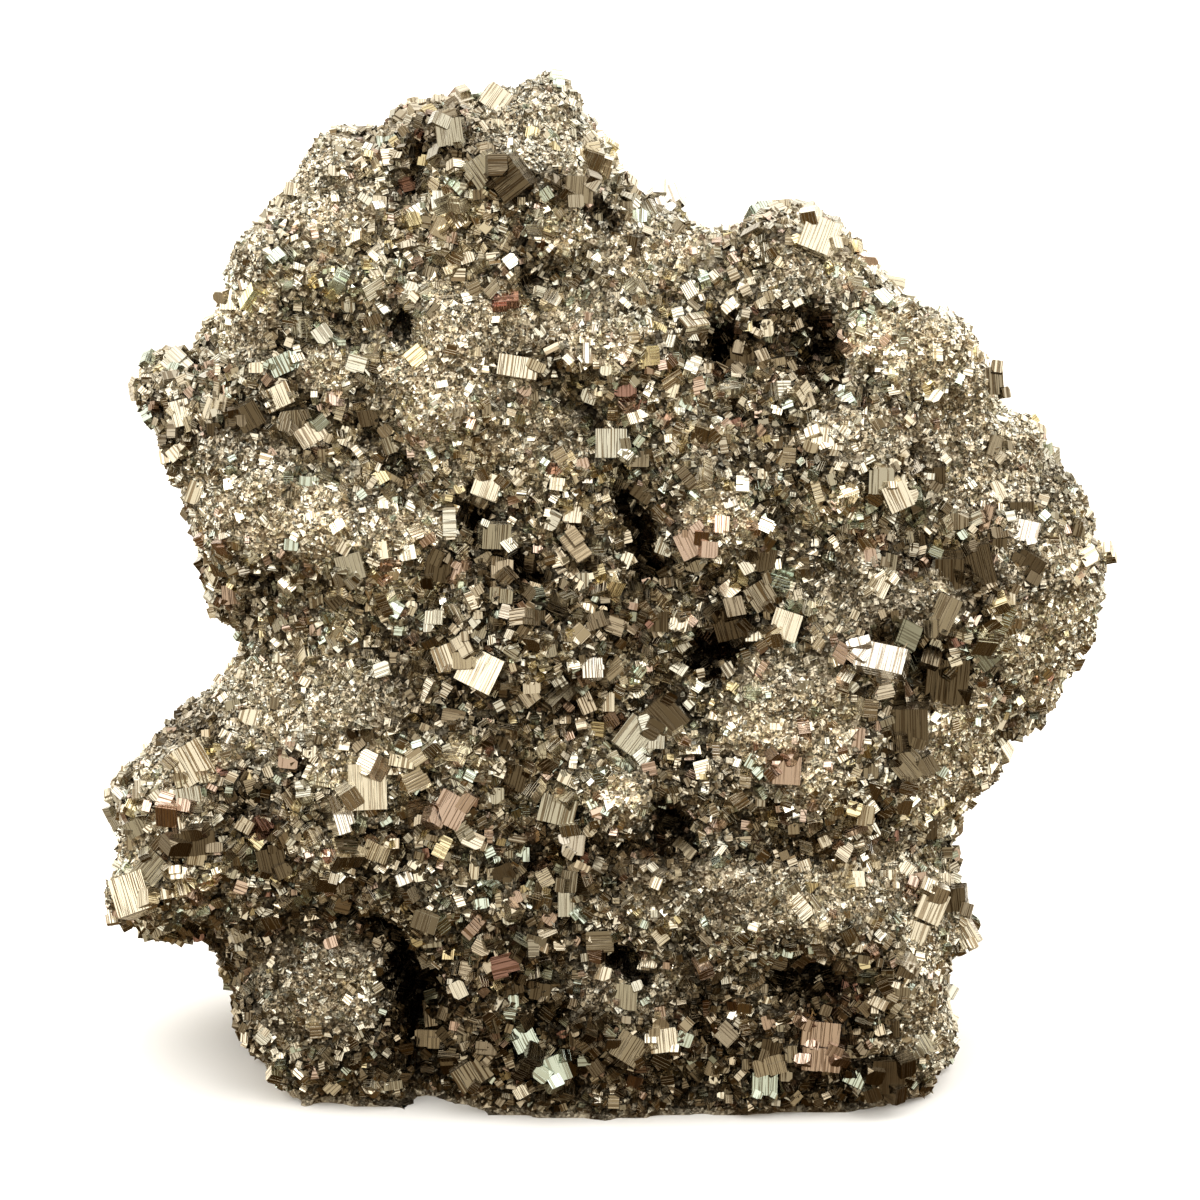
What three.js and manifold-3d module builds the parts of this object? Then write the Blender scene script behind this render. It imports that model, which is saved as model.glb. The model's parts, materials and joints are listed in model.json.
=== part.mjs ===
// A free-standing pyrite cluster: one mass of intergrown cubes, sawn flat underneath so that it stands by itself.
// Millimetres, +Z up, -Y is the crystal face. The origin lies on the sawn base, below the middle of the cluster.
import * as THREE from "three";
import { MarchingCubes } from "three/addons/objects/MarchingCubes.js";
import { mergeVertices } from "three/addons/utils/BufferGeometryUtils.js";
import Module from "manifold-3d";

const wasm = await Module();
wasm.setup();

// Driving dimensions
const viewTilt = THREE.MathUtils.degToRad(14); // the outline below is the one seen from the front, this far above level
const viewDistance = 900; // and from this far away
const viewAim = new THREE.Vector3(-0.9, -35, 94.4); // looking at this point
const aimUp = 83.1; // which lies this far up in the outline
const clusterHeight = 172;
const frontDepth = [[-20, 37], [0, 39], [16, 41], [34, 43], [66, 42], [105, 38], [145, 31], [190, 20]]; // height, depth
const backDepth = [[-20, 34], [30, 41], [90, 40], [140, 32], [190, 20]];
const rimRadius = 30; // how far in from its outline the cluster reaches its full depth
const rimSquareness = 2.3; // 2 is a round rim, more is squarer
const rimInset = 0.7; // the fine crystals stand this far out of the rim
const blendWidth = 6; // how softly one lump runs into the next
const cell = 5.6; // spacing of the surface's facets at the front
const backCellGrowth = 2.2; // how much wider the facets are at the very back
const gridCells = 64;
const leastOffset = 0.3; // keeps facets from shrinking to slivers

const { sin, cos, hypot, min, max, abs, floor } = Math;
const intoCluster = new THREE.Vector3(0, cos(viewTilt), -sin(viewTilt));
const upInView = new THREE.Vector3(0, sin(viewTilt), cos(viewTilt));

// Outline, clockwise from the top: across from the middle, and up from the base.
const outline = [
  [-18, 171], [-13, 176.5], [-5, 174], [-2.5, 169], [2, 161], [6, 154], [13, 152.5], [16, 149], [25, 149.5],
  [28, 152.5], [38, 152], [41, 149], [45, 145], [50, 137], [58, 133], [64, 131], [68, 123], [69, 117], [76, 114],
  [81, 107], [85, 98], [88, 87], [86, 77], [81, 68], [78, 60], [72, 59], [70, 52], [65, 49], [61.5, 43], [61, 36],
  [64, 30], [65, 21], [60, 19.5], [60.5, 12], [61, 4], [56, -4], [50, -40], [-50, -40], [-57, -2], [-64, 6],
  [-70, 16], [-66, 20], [-70, 24], [-80, 23], [-87, 27], [-88, 31], [-85, 39], [-84.5, 44], [-87.5, 47],
  [-84, 55], [-75, 62], [-71, 67], [-64, 72], [-67, 78], [-70, 87], [-71, 95], [-77, 108], [-82.5, 116.5],
  [-82, 127], [-73, 126.5], [-69, 132], [-65, 145], [-60, 150], [-53, 157], [-51, 164], [-46, 166], [-38, 166],
  [-36, 170.5], [-26, 171.5],
].map(([across, up]) => new THREE.Vector2(across, up));

// Rounded lumps that the crystals grew over: across, up, depth (0 is the middle, minus is the front), then their
// three radii and their turn in the plane of the face.
const lumps = [
  { name: "lower left lobe", at: [-65, 43, -18], radii: [25, 21, 26], turn: 18 },
  { name: "left lobe tip", at: [-80, 34, -22], radii: [9, 9, 12] },
  { name: "left foot", at: [-47, 11, -22], radii: [18, 19, 20] },
  { name: "left overhang", at: [-42, 40, -29], radii: [27, 11, 15], turn: -8 },
  { name: "middle foot", at: [-2, 15, -24], radii: [20, 21, 20], turn: 12 },
  { name: "front tongue", at: [22, 31, -30], radii: [31, 11, 20], turn: -22 },
  { name: "tongue tip", at: [4, 38, -33], radii: [14, 9, 15], turn: 10 },
  { name: "right foot", at: [42, 3, -19], radii: [22, 18, 20] },
  { name: "right foot edge", at: [55, 24, -10], radii: [11, 17, 20] },
  { name: "right waist", at: [62, 58, -14], radii: [13, 10, 20] },
  { name: "middle right ridge", at: [35, 61, -32], radii: [14, 19, 15], turn: 20 },
  { name: "ridge shoulder", at: [20, 58, -33], radii: [14, 9, 13], turn: 30 },
  { name: "middle left mass", at: [-27, 56, -31], radii: [25, 16, 16], turn: -12 },
  { name: "centre mass", at: [-8, 76, -33], radii: [21, 12, 14], turn: -14 },
  { name: "left cheek", at: [-50, 95, -25], radii: [21, 15, 17], turn: -10 },
  { name: "centre knob", at: [19, 98, -31], radii: [13, 11, 13] },
  { name: "left brow", at: [-30, 121, -26], radii: [15, 14, 14], turn: 24 },
  { name: "centre brow", at: [2, 128, -26], radii: [19, 12, 15], turn: -14 },
  { name: "left shoulder", at: [-54, 142, -14], radii: [17, 12, 18] },
  { name: "left dome", at: [-45, 157, -6], radii: [11, 10, 14] },
  { name: "crown", at: [-12, 163, -6], radii: [15, 12, 17] },
  { name: "crown left", at: [-29, 160, -9], radii: [12, 10, 15] },
  { name: "upper face", at: [-12, 148, -20], radii: [22, 14, 14], turn: -30 },
  { name: "right dome", at: [54, 126, -14], radii: [18, 15, 20], turn: -32 },
  { name: "right knob", at: [34, 146, -6], radii: [10, 7, 12] },
  { name: "saddle", at: [18, 140, -14], radii: [16, 9, 16] },
  { name: "right lobe", at: [72, 90, -8], radii: [17, 26, 24] },
  { name: "right face", at: [50, 100, -27], radii: [18, 12, 14], turn: -30 },
  { name: "right lower face", at: [48, 76, -31], radii: [16, 9, 14], turn: -16 },
];

// Clefts between the lumps, in the same terms.
const clefts = [
  { name: "left foot cleft", at: [-32, 4, -42], radii: [8, 22, 16], turn: 4 },
  { name: "under the left overhang", at: [-42, 27, -48], radii: [14, 4.5, 18], turn: -12 },
  { name: "under the lobe", at: [-76, 18, -20], radii: [15, 6, 44], turn: -14 },
  { name: "tongue cleft", at: [4, 19, -54], radii: [4, 9, 15], turn: 42 },
  { name: "groove above the tongue", at: [3, 42, -56], radii: [9, 4, 13], turn: 0 },
  { name: "under the ridge", at: [31, 43, -54], radii: [12, 5, 14], turn: 0 },
  { name: "central groove", at: [5, 70, -52], radii: [12, 4, 13], turn: -8 },
  { name: "groove under the centre", at: [-10, 64.5, -52], radii: [15, 4, 13], turn: 6 },
  { name: "left groove", at: [-35, 65, -54], radii: [9, 4, 13], turn: 0 },
  { name: "upright cleft", at: [5, 99, -48], radii: [4.5, 13, 16], turn: 8 },
  { name: "left of centre cleft", at: [-15, 88, -50], radii: [10, 4.5, 13], turn: -40 },
  { name: "brow groove", at: [-51, 111.5, -40], radii: [15, 4.5, 16], turn: 0 },
  { name: "brow cleft", at: [-7, 113, -46], radii: [6, 6, 13], turn: 0 },
  { name: "shoulder groove", at: [-49, 131, -32], radii: [18, 4.5, 14], turn: -6 },
  { name: "crown groove", at: [-9, 140, -36], radii: [9, 4, 13], turn: -10 },
  { name: "crown left groove", at: [-35, 160, -26], radii: [4.5, 8, 12], turn: -20 },
  { name: "between the eyes", at: [28, 127, -42], radii: [12, 7, 14], turn: 0 },
  { name: "right face cleft", at: [56, 92, -42], radii: [12, 4, 14], turn: -12 },
  { name: "right hollow", at: [58, 70, -44], radii: [8, 7, 15], turn: 0 },
  { name: "right waist cleft", at: [70, 60, -30], radii: [5, 8, 20], turn: -20 },
];

// Deep dark holes, each an ellipsoid centred on the face: across, up, then its half width, half height and depth.
const holes = [
  { name: "left foot hole", at: [-34.5, 17], radii: [5, 9, 16], turn: 6 },
  { name: "left foot slot", at: [-38, 27], radii: [7, 2.6, 10], turn: -35 },
  { name: "tongue hole", at: [34, 16.5], radii: [8, 4.6, 13], turn: 8 },
  { name: "tongue slot", at: [4, 21], radii: [2.6, 7, 9], turn: 42 },
  { name: "hole above the tongue", at: [11.5, 43.5], radii: [6, 4.6, 13], turn: 20 },
  { name: "slot above the tongue", at: [2, 40], radii: [7, 2.4, 8], turn: 0 },
  { name: "central hole", at: [19, 73.5], radii: [6.5, 5, 14], turn: 15 },
  { name: "upright slot", at: [5.5, 97], radii: [2.6, 8, 10], turn: 6 },
  { name: "upright slot's hole", at: [8, 88], radii: [5, 3.6, 12], turn: -10 },
  { name: "left of centre hole", at: [-23.5, 98], radii: [3.6, 4.6, 11], turn: 0 },
  { name: "left of centre slot", at: [-14, 87.5], radii: [6, 2.6, 7], turn: -40 },
  { name: "brow hole", at: [-36, 107], radii: [3.2, 4.4, 11], turn: 0 },
  { name: "shoulder hole", at: [-35, 131.5], radii: [4.2, 3.8, 12], turn: 0 },
  { name: "shoulder slot", at: [-46, 131], radii: [7, 2.2, 8], turn: -8 },
  { name: "crown hole", at: [0, 150.5], radii: [4, 3.4, 11], turn: 0 },
  { name: "left eye", at: [20.5, 126.5], radii: [4.2, 5, 14], turn: 0 },
  { name: "right eye", at: [36.5, 127], radii: [4.6, 8, 14], turn: 18 },
  { name: "right lower hole", at: [47, 46], radii: [2.8, 5, 11], turn: 20 },
  { name: "right face slot", at: [56, 91], radii: [7, 2.4, 8], turn: -12 },
];

// The largest crystals: across, up, width, height, then the way they face: spin in the plane of the face, tip up, turn right.
const crystals = [
  [-21, 70.5, 7.2, 6.4, -27, 14, 8],
  [-27.5, 73, 4.2, 4.4, 20, 18, -10],
  [-2.5, 71, 3.6, 3.6, 3, 20, 0],
  [-19.5, 94.5, 5, 4.4, -4, 8, 10],
  [10.5, 63, 6.6, 6.6, 42, 4, -12],
  [5, 59, 7, 6.2, -38, 18, 12],
  [-8, 46.5, 6.4, 5, -14, 12, -14],
  [2.5, 48.5, 10.5, 9.5, -6, 20, 6],
  [-5, 40.5, 4, 3.6, -8, -6, 16],
  [-6.5, 30, 5, 4.4, 0, 6, 0],
  [48.5, 72.5, 8.6, 5.4, -14, 26, 6],
  [58.5, 69.5, 8, 8, -5, -14, -20],
  [64, 89.5, 8, 7.4, 14, 4, -10],
  [52.5, 61.5, 8.6, 6.4, 2, -10, 14],
  [22, 79.5, 5.6, 5.4, 16, -8, -16],
  [27.5, 84, 4.6, 4.6, 32, 8, 10],
  [31, 78.5, 5, 5, -18, 22, 4],
  [31, 53.5, 5.2, 5, -4, 16, 4],
  [53.5, 54.5, 5.4, 5.4, 42, 10, 12],
  [37, 146.5, 6.4, 6, -20, 24, 12],
  [24, 125.5, 4.6, 4.4, 4, -8, 0],
  [-21, 158.5, 5, 5, 35, 6, -18],
  [-16.5, 157, 6.4, 5.6, -52, 2, 10],
  [-19.5, 170.5, 4.6, 4.4, -35, 22, 0],
  [-27, 165, 4.6, 4.6, 8, 6, 20],
  [-5, 155, 5, 4.6, -4, 30, 0],
  [10.5, 153, 4.6, 4.4, 20, 26, 12],
  [-15.5, 123.5, 7, 3.6, -8, 12, 6],
  [1, 110.5, 5.4, 5, 0, 14, -8],
  [-20.5, 103, 4.6, 4.4, -20, 22, 10],
  [15, 93, 4.8, 4.6, 25, 16, 10],
  [-44, 89, 4.8, 4.6, 16, 6, 14],
  [-42.5, 50.5, 6.8, 8, 2, 16, -6],
  [-71.5, 54.5, 6.6, 7, 30, 20, -8],
  [-29.5, 89, 4.6, 4.6, -10, -10, -6],
  [-27, 46.5, 5.6, 5.6, -28, 6, 16],
  [-82, 31.5, 6.6, 7, 18, 24, -6],
  [-79, 36, 5, 7, -40, 2, 16],
  [-72, 41, 7.2, 4.4, 4, -16, 0],
  [-58.5, 38, 5, 4.6, 12, -4, 18],
  [-23.5, 0.5, 6.4, 4.4, 32, -4, 8],
  [-9, 1, 4.8, 4.8, 22, 16, 12],
  [-14.5, 6.5, 4.4, 4.4, 26, 16, -8],
  [9.5, 6, 5, 4.2, 6, 20, 8],
  [4, 5, 5.4, 5, -32, 8, 0],
  [3.5, 14, 5.2, 4.6, -4, -2, 10],
  [27.5, -1.5, 4.6, 4, -2, 10, 4],
  [37.5, 7.5, 6.8, 4.4, -6, 4, 0],
  [38, 3, 6.8, 4.2, -4, 10, 2],
  [49, 0.5, 6, 6.4, -2, -8, 18],
  [56.5, 29.5, 5, 5.8, -24, 22, 16],
  [61.5, 31, 3.8, 4.4, 6, -2, 30],
  [63, 24.5, 4.4, 4.6, 30, 12, 24],
  [-56.5, 118.5, 5.2, 4, 24, 16, -4],
  [-54.5, 114.5, 4.4, 4, 4, 24, 6],
  [-62.5, 115.5, 4.4, 4.4, 28, -6, 12],
  [67.5, 121.5, 4, 4.8, 4, -4, 30],
  [51, 101, 4.4, 4.6, 24, 16, -14],
];
const crystalProud = 0.46; // share of a crystal's size that stands out of the mass

// How deep a point seen at (across, up) lies inside the outline: minus is outside.
function depthInOutline(across, up) {
  let nearest = Infinity;
  let inside = false;
  outline.forEach((a, i) => {
    const b = outline[(i + 1) % outline.length];
    const edgeX = b.x - a.x;
    const edgeY = b.y - a.y;
    const along = ((across - a.x) * edgeX + (up - a.y) * edgeY) / (edgeX * edgeX + edgeY * edgeY);
    const t = min(1, max(0, along));
    nearest = min(nearest, hypot(across - a.x - t * edgeX, up - a.y - t * edgeY));
    if (a.y > up !== b.y > up && across < a.x + ((up - a.y) / edgeY) * edgeX) inside = !inside;
  });
  return inside ? nearest : -nearest;
}

// Smooth pseudo-random hills from -1 to 1, about one hill per unit.
function hills(x, y, z) {
  const corner = (i, j, k) => {
    const s = sin(i * 127.1 + j * 311.7 + k * 74.7) * 43758.5453;
    return 2 * (s - floor(s)) - 1;
  };
  const [i, j, k] = [floor(x), floor(y), floor(z)];
  const [u, v, w] = [x - i, y - j, z - k].map((t) => t * t * (3 - 2 * t));
  const mix = THREE.MathUtils.lerp;
  const along = (b, c) => mix(corner(i, b, c), corner(i + 1, b, c), u);
  return mix(mix(along(j, k), along(j + 1, k), v), mix(along(j, k + 1), along(j + 1, k + 1), v), w);
}

function smoothMax(a, b, width) {
  const overlap = max(width - abs(a - b), 0) / width;
  return max(a, b) + (overlap * overlap * width) / 4;
}

// Depth inside an ellipsoid, in millimetres near its surface.
function depthInBlob({ at, radii, turn = 0 }, across, up, depth) {
  const [dx, dy, dz] = [across - at[0], up - at[1], depth - at[2]];
  const angle = THREE.MathUtils.degToRad(turn);
  const x = dx * cos(angle) + dy * sin(angle);
  const y = dy * cos(angle) - dx * sin(angle);
  const share = hypot(x / radii[0], y / radii[1], dz / radii[2]);
  return (1 - share) * min(...radii);
}

// A profile's value at a height, straight between its points.
function profileAt(profile, height) {
  const next = max(1, profile.findIndex(([pointHeight]) => pointHeight > height));
  const [below, above] = [profile[next - 1], profile[next]];
  return THREE.MathUtils.mapLinear(height, below[0], above[0], below[1], above[1]);
}

// A point's place across and up in the outline's view.
function seenAt(point) {
  const fromAim = point.clone().sub(viewAim);
  const scale = viewDistance / (viewDistance + fromAim.dot(intoCluster));
  return [viewAim.x + fromAim.x * scale, aimUp + fromAim.dot(upInView) * scale];
}

// The cluster's field: plus inside, minus outside, about a distance in millimetres near the surface.
function fieldAt(x, y, z) {
  const [across, up] = seenAt(new THREE.Vector3(x, y, z));
  const inset = depthInOutline(across, up) - rimInset;
  const rimShare = max(rimRadius - inset, 0) / rimRadius;
  const halfDepth = profileAt(y < 0 ? frontDepth : backDepth, min(185, max(-15, z)));
  const bulge = (rimShare ** rimSquareness + (abs(y) / halfDepth) ** rimSquareness) ** (1 / rimSquareness);
  let field = (1 - bulge) * rimRadius;
  const wander = [0, 50, 100].map((shift) => 3.6 * hills(x / 12 + shift, y / 12, z / 12));
  const place = [across + wander[0], up + wander[1], y + wander[2]];
  for (const lump of lumps) {
    const depth = depthInBlob(lump, ...place);
    if (depth > -blendWidth) field = smoothMax(field, depth, blendWidth);
  }
  field += 3 * hills(x / 16, y / 16, z / 16) + 2 * hills(x / 8, y / 8 + 40, z / 8);
  for (const cleft of clefts) {
    const depth = depthInBlob(cleft, ...place);
    if (depth > -blendWidth) field = -smoothMax(-field, depth, blendWidth / 3);
  }
  return -smoothMax(-field, -inset, blendWidth / 3);
}

// The facets get wider towards the back: a grid point's place, from its place in a cube that runs from -1 to 1.
function placeOf(gx, gy, gz) {
  const reach = (cell * gridCells) / 2;
  const y = gy * reach;
  const growth = THREE.MathUtils.mapLinear(y, -40, 40, 1, backCellGrowth);
  const spread = reach * min(backCellGrowth, max(1, growth));
  return [gx * spread, y, gz * spread + clusterHeight / 2];
}

function manifoldOf(geometry) {
  geometry.deleteAttribute("normal");
  geometry.deleteAttribute("uv");
  const merged = mergeVertices(geometry, 1e-4);
  return new wasm.Manifold(
    new wasm.Mesh({
      numProp: 3,
      vertProperties: new Float32Array(merged.attributes.position.array),
      triVerts: new Uint32Array(merged.index.array),
    }),
  );
}

function geometryOf(manifold) {
  const mesh = manifold.getMesh();
  return new THREE.BufferGeometry()
    .setAttribute("position", new THREE.BufferAttribute(mesh.vertProperties, 3))
    .setIndex(new THREE.BufferAttribute(mesh.triVerts, 1));
}

// The lumpy mass, without its largest crystals.
function massManifold() {
  const surface = new MarchingCubes(gridCells, new THREE.Material(), false, false, 40000);
  surface.isolation = 0;
  const half = gridCells / 2;
  for (let k = 0; k < gridCells; k++)
    for (let j = 0; j < gridCells; j++)
      for (let i = 0; i < gridCells; i++) {
        const field = fieldAt(...placeOf(i / half - 1, j / half - 1, k / half - 1));
        surface.field[i + gridCells * (j + gridCells * k)] = abs(field) < leastOffset ? leastOffset : field;
      }
  surface.update();
  const points = [];
  for (let i = 0; i < surface.count * 3; i += 3) points.push(...placeOf(...surface.positionArray.slice(i, i + 3)));
  const geometry = new THREE.BufferGeometry().setAttribute("position", new THREE.Float32BufferAttribute(points, 3));
  return manifoldOf(geometry);
}

// Where the sight line through (across, up) meets the mass, or passes nearest to it, and that line's direction.
function facePoint(across, up) {
  const eye = viewAim.clone().addScaledVector(intoCluster, -viewDistance);
  const onAimPlane = viewAim.clone().addScaledVector(upInView, up - aimUp).setX(across);
  const sight = onAimPlane.sub(eye).normalize();
  let point = eye;
  let deepest = -Infinity;
  for (let reach = viewDistance - 60; reach < viewDistance + 100 && deepest < 0; reach += 0.25) {
    const next = eye.clone().addScaledVector(sight, reach);
    const field = fieldAt(...next);
    if (field > deepest) [point, deepest] = [next, field];
  }
  return { point, sight };
}

function crystalManifold([across, up, width, height, spin, tip, turn]) {
  const thickness = (width + height) / 2;
  const { point, sight } = facePoint(across, up);
  const place = new THREE.Matrix4().makeBasis(new THREE.Vector3(1, 0, 0), upInView, intoCluster.clone().negate());
  const [tipAngle, turnAngle, spinAngle] = [-tip, turn, spin].map(THREE.MathUtils.degToRad);
  place.multiply(new THREE.Matrix4().makeRotationX(tipAngle));
  place.multiply(new THREE.Matrix4().makeRotationY(turnAngle));
  place.multiply(new THREE.Matrix4().makeRotationZ(spinAngle));
  place.setPosition(point.addScaledVector(sight, thickness * (0.5 - crystalProud)));
  return manifoldOf(new THREE.BoxGeometry(width, height, thickness).applyMatrix4(place));
}

function holeManifold({ at: [across, up], radii, turn }) {
  const { point } = facePoint(across, up);
  const place = new THREE.Matrix4().makeBasis(new THREE.Vector3(1, 0, 0), upInView, intoCluster.clone().negate());
  place.multiply(new THREE.Matrix4().makeRotationZ(THREE.MathUtils.degToRad(turn)));
  place.scale(new THREE.Vector3(...radii));
  place.setPosition(point);
  return manifoldOf(new THREE.IcosahedronGeometry(1, 1).applyMatrix4(place));
}

function clusterGeometry() {
  let cluster = massManifold();
  for (const hole of holes) cluster = cluster.subtract(holeManifold(hole));
  for (const crystal of crystals) cluster = cluster.add(crystalManifold(crystal));
  const sawn = new THREE.BoxGeometry(400, 400, 100).translate(0, 0, -50);
  cluster = cluster.subtract(manifoldOf(sawn));
  const pieces = cluster.decompose().sort((a, b) => b.volume() - a.volume());
  return geometryOf(pieces[0]);
}

const pyrite = new THREE.MeshStandardMaterial({ color: 0xb8a67c, roughness: 0.35, metalness: 1 });

const part = new THREE.Group();
const cluster = new THREE.Mesh(clusterGeometry(), pyrite);
cluster.name = "pyrite_cluster";
part.add(cluster);

export default part;
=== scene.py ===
# A free-standing pyrite cluster: a lumpy mass of crystals, thousands of striated cubes, and a sawn base.
import json
import math

import bmesh
import bpy
import numpy as np
from mathutils import Euler, Matrix, Vector
from mathutils.bvhtree import BVHTree

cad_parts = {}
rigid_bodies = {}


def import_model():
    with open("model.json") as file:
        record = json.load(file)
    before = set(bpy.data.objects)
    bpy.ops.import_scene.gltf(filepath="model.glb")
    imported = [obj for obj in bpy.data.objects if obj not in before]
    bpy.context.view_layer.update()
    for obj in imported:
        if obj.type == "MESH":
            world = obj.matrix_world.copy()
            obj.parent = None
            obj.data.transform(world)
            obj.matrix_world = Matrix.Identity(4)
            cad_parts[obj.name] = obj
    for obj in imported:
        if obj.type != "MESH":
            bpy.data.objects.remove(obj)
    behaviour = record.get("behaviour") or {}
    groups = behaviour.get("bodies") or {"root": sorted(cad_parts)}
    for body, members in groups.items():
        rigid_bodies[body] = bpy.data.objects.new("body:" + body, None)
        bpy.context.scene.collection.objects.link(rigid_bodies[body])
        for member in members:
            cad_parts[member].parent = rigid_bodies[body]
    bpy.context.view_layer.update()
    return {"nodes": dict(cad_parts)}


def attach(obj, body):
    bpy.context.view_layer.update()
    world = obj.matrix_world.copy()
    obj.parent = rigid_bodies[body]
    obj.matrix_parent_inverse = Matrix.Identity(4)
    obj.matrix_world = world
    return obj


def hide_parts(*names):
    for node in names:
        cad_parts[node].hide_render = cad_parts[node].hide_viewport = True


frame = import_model()
mm = 0.001
cluster = frame["nodes"]["pyrite_cluster"]


def srgb(hexColour):
    parts = [int(hexColour[i:i + 2], 16) / 255 for i in (1, 3, 5)]
    return tuple(c / 12.92 if c <= 0.04045 else ((c + 0.055) / 1.055) ** 2.4 for c in parts) + (1.0,)


def put(tree, kind, inputs=None, **settings):
    node = tree.nodes.new(kind)
    for name, value in settings.items():
        setattr(node, name, value)
    for key, value in (inputs or {}).items():
        if isinstance(value, bpy.types.NodeSocket):
            tree.links.new(value, node.inputs[key])
        else:
            node.inputs[key].default_value = value
    return node


def coordsOf(mesh):
    flat = np.empty(len(mesh.vertices) * 3, np.float32)
    mesh.vertices.foreach_get("co", flat)
    return flat.reshape(-1, 3).astype(float)


def normalsOf(mesh):
    flat = np.empty(len(mesh.vertices) * 3, np.float32)
    mesh.vertex_normals.foreach_get("vector", flat)
    return flat.reshape(-1, 3).astype(float)


def newObject(name, mesh):
    made = bpy.data.objects.new(name, mesh)
    bpy.context.scene.collection.objects.link(made)
    return made


def trianglesIn(mesh):
    return sum(len(face.vertices) - 2 for face in mesh.polygons)


def setPointValues(mesh, name, values):
    layer = mesh.attributes.get(name) or mesh.attributes.new(name, "FLOAT", "POINT")
    layer.data.foreach_set("value", np.asarray(values, np.float32))


# Smooth hills from -1 to 1, about one hill for each unit of the points given.
def hills(points, seed):
    cell = np.floor(points).astype(np.int64)
    share = points - cell
    share = share * share * (3 - 2 * share)
    total = np.zeros(len(points))
    for corner in np.ndindex(2, 2, 2):
        at = (cell + corner) * np.array([73856093, 19349663, 83492791]) + seed * 2654435761
        mixed = np.bitwise_xor.reduce(at, axis=1) & 0xFFFFFFFF
        mixed = ((mixed ^ (mixed >> 15)) * 0x2C1B3C6D) & 0xFFFFFFFF
        mixed = ((mixed ^ (mixed >> 12)) * 0x297A2D39) & 0xFFFFFFFF
        value = ((mixed ^ (mixed >> 15)) & 0xFFFF) / 32767.5 - 1
        total += value * np.prod(np.where(corner, share, 1 - share), axis=1)
    return total


# The camera, and the view in which the places of the crystals are given
cameraPlan = {
    "tilt": 14,  # degrees above level
    "distance": 900,  # mm, from the aim to the eye
    "aim": (-0.9, -35, 94.4),  # mm
    "aimUp": 83.1,  # mm, how far up the aim lies in the view
    "width": 210,  # mm across the picture at the aim
}
tilt = math.radians(cameraPlan["tilt"])
intoCluster = Vector((0, math.cos(tilt), -math.sin(tilt)))
upInView = Vector((0, math.sin(tilt), math.cos(tilt)))
aim = Vector(cameraPlan["aim"]) * mm
eye = aim - intoCluster * cameraPlan["distance"] * mm


def makeCamera():
    data = bpy.data.cameras.new("camera")
    data.sensor_width = 36
    data.lens = 36 * cameraPlan["distance"] / cameraPlan["width"]
    data.clip_start = 0.01
    camera = newObject("camera", data)
    camera.location = eye
    camera.rotation_euler = intoCluster.to_track_quat("-Z", "Y").to_euler()
    bpy.context.scene.camera = camera


# The sight line through a place in the view: across from the middle and up from the base, in mm.
def sightThrough(across, up):
    onAimPlane = aim + upInView * (up - cameraPlan["aimUp"]) * mm
    onAimPlane.x = across * mm
    return (onAimPlane - eye).normalized()


# Places in the view, in mm, of points in metres.
def placesInView(points):
    fromAim = points - np.array(aim)
    scale = cameraPlan["distance"] * mm / (cameraPlan["distance"] * mm + fromAim @ np.array(intoCluster))
    across = cameraPlan["aim"][0] + fromAim[:, 0] * scale / mm
    up = cameraPlan["aimUp"] + (fromAim @ np.array(upInView)) * scale / mm
    return across, up


makeCamera()

# The ground that the crystals grow on: the solid's own shape, rounded, then with clumps, bumps and crevices.
groundPlan = {
    "voxel": 1.5,  # mm between its points
    "smoothing": 3,  # passes over the facets of the solid
    "hills": [(15.0, 1.4), (8.0, 1.6), (4.2, 1.2), (2.0, 0.5)],  # mm: width and height of each layer of bumps
    "crevice": (10.0, 0.13, 2.8),  # mm from one to the next, how wide as a share of that, and mm deep
    "grain": 0.24,  # mm that single points stand in or out
    "sawnBelow": 0.45,  # mm above the base that still belongs to the sawn face
    "darkened": 40,  # mm above the base up to which painted shade darkens it, more the lower it lies
    "sunk": 0.7,  # mm that it lies back, so that the crust ends where the solid does
    "underCrystal": 1.3,  # mm that it lies back inside the largest crystals
    "footShown": (1.6, 2.5),  # below 1.5 mm the foot has no crust; its own grains show, and fade out 4 mm up
    "dimmed": {"shut": 0.6, "crevice": 0.5, "low": 0.38},  # share of the brightness that painted shade takes: where the ground is shut in, in its crevices and towards the bottom
    "fineGain": 0.5,  # how much brighter the crust is where it is fine
    "plain": 0.88,  # how bright it is elsewhere
    # lumps and notches in the outline: across, up and radius in the view, and how far it stands out, in mm
    "lumps": [
        (-12, 177, 4, 2.5), (-4, 173, 3, 1.5), (-48, 166, 5, 2.5), (-33, 171, 5, 1.2), (-81, 127, 3, 2.5),
        (-82, 118, 3, 1.5), (-89, 32, 4, 2.5), (60, 134, 5, 1.5), (47, 144, 3, 1), (-68, 16, 3, 2.5),
        (71, 117, 3, -2.5), (80, 108, 5, -1), (84, 98, 4, -1), (-73, 127, 3, -1.5), (-68, 138, 5, -1.5),
        (-78, 111, 3, -1.5), (-66, 76, 4, -2), (-86, 44, 3, -1.5), (-71, 22, 4, -2.5), (8, 155, 4, -1.2),
        (22, 150, 4, -1), (-41, 167, 2.5, -1.5), (-23, 172, 2.5, -1.5), (62, 42, 6, -2), (71, 57, 3, -2),
        (67, 50, 4, -1), (60, 16, 5, -2), (87, 80, 5, -1),
    ],
    "seed": 11,
}


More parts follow.
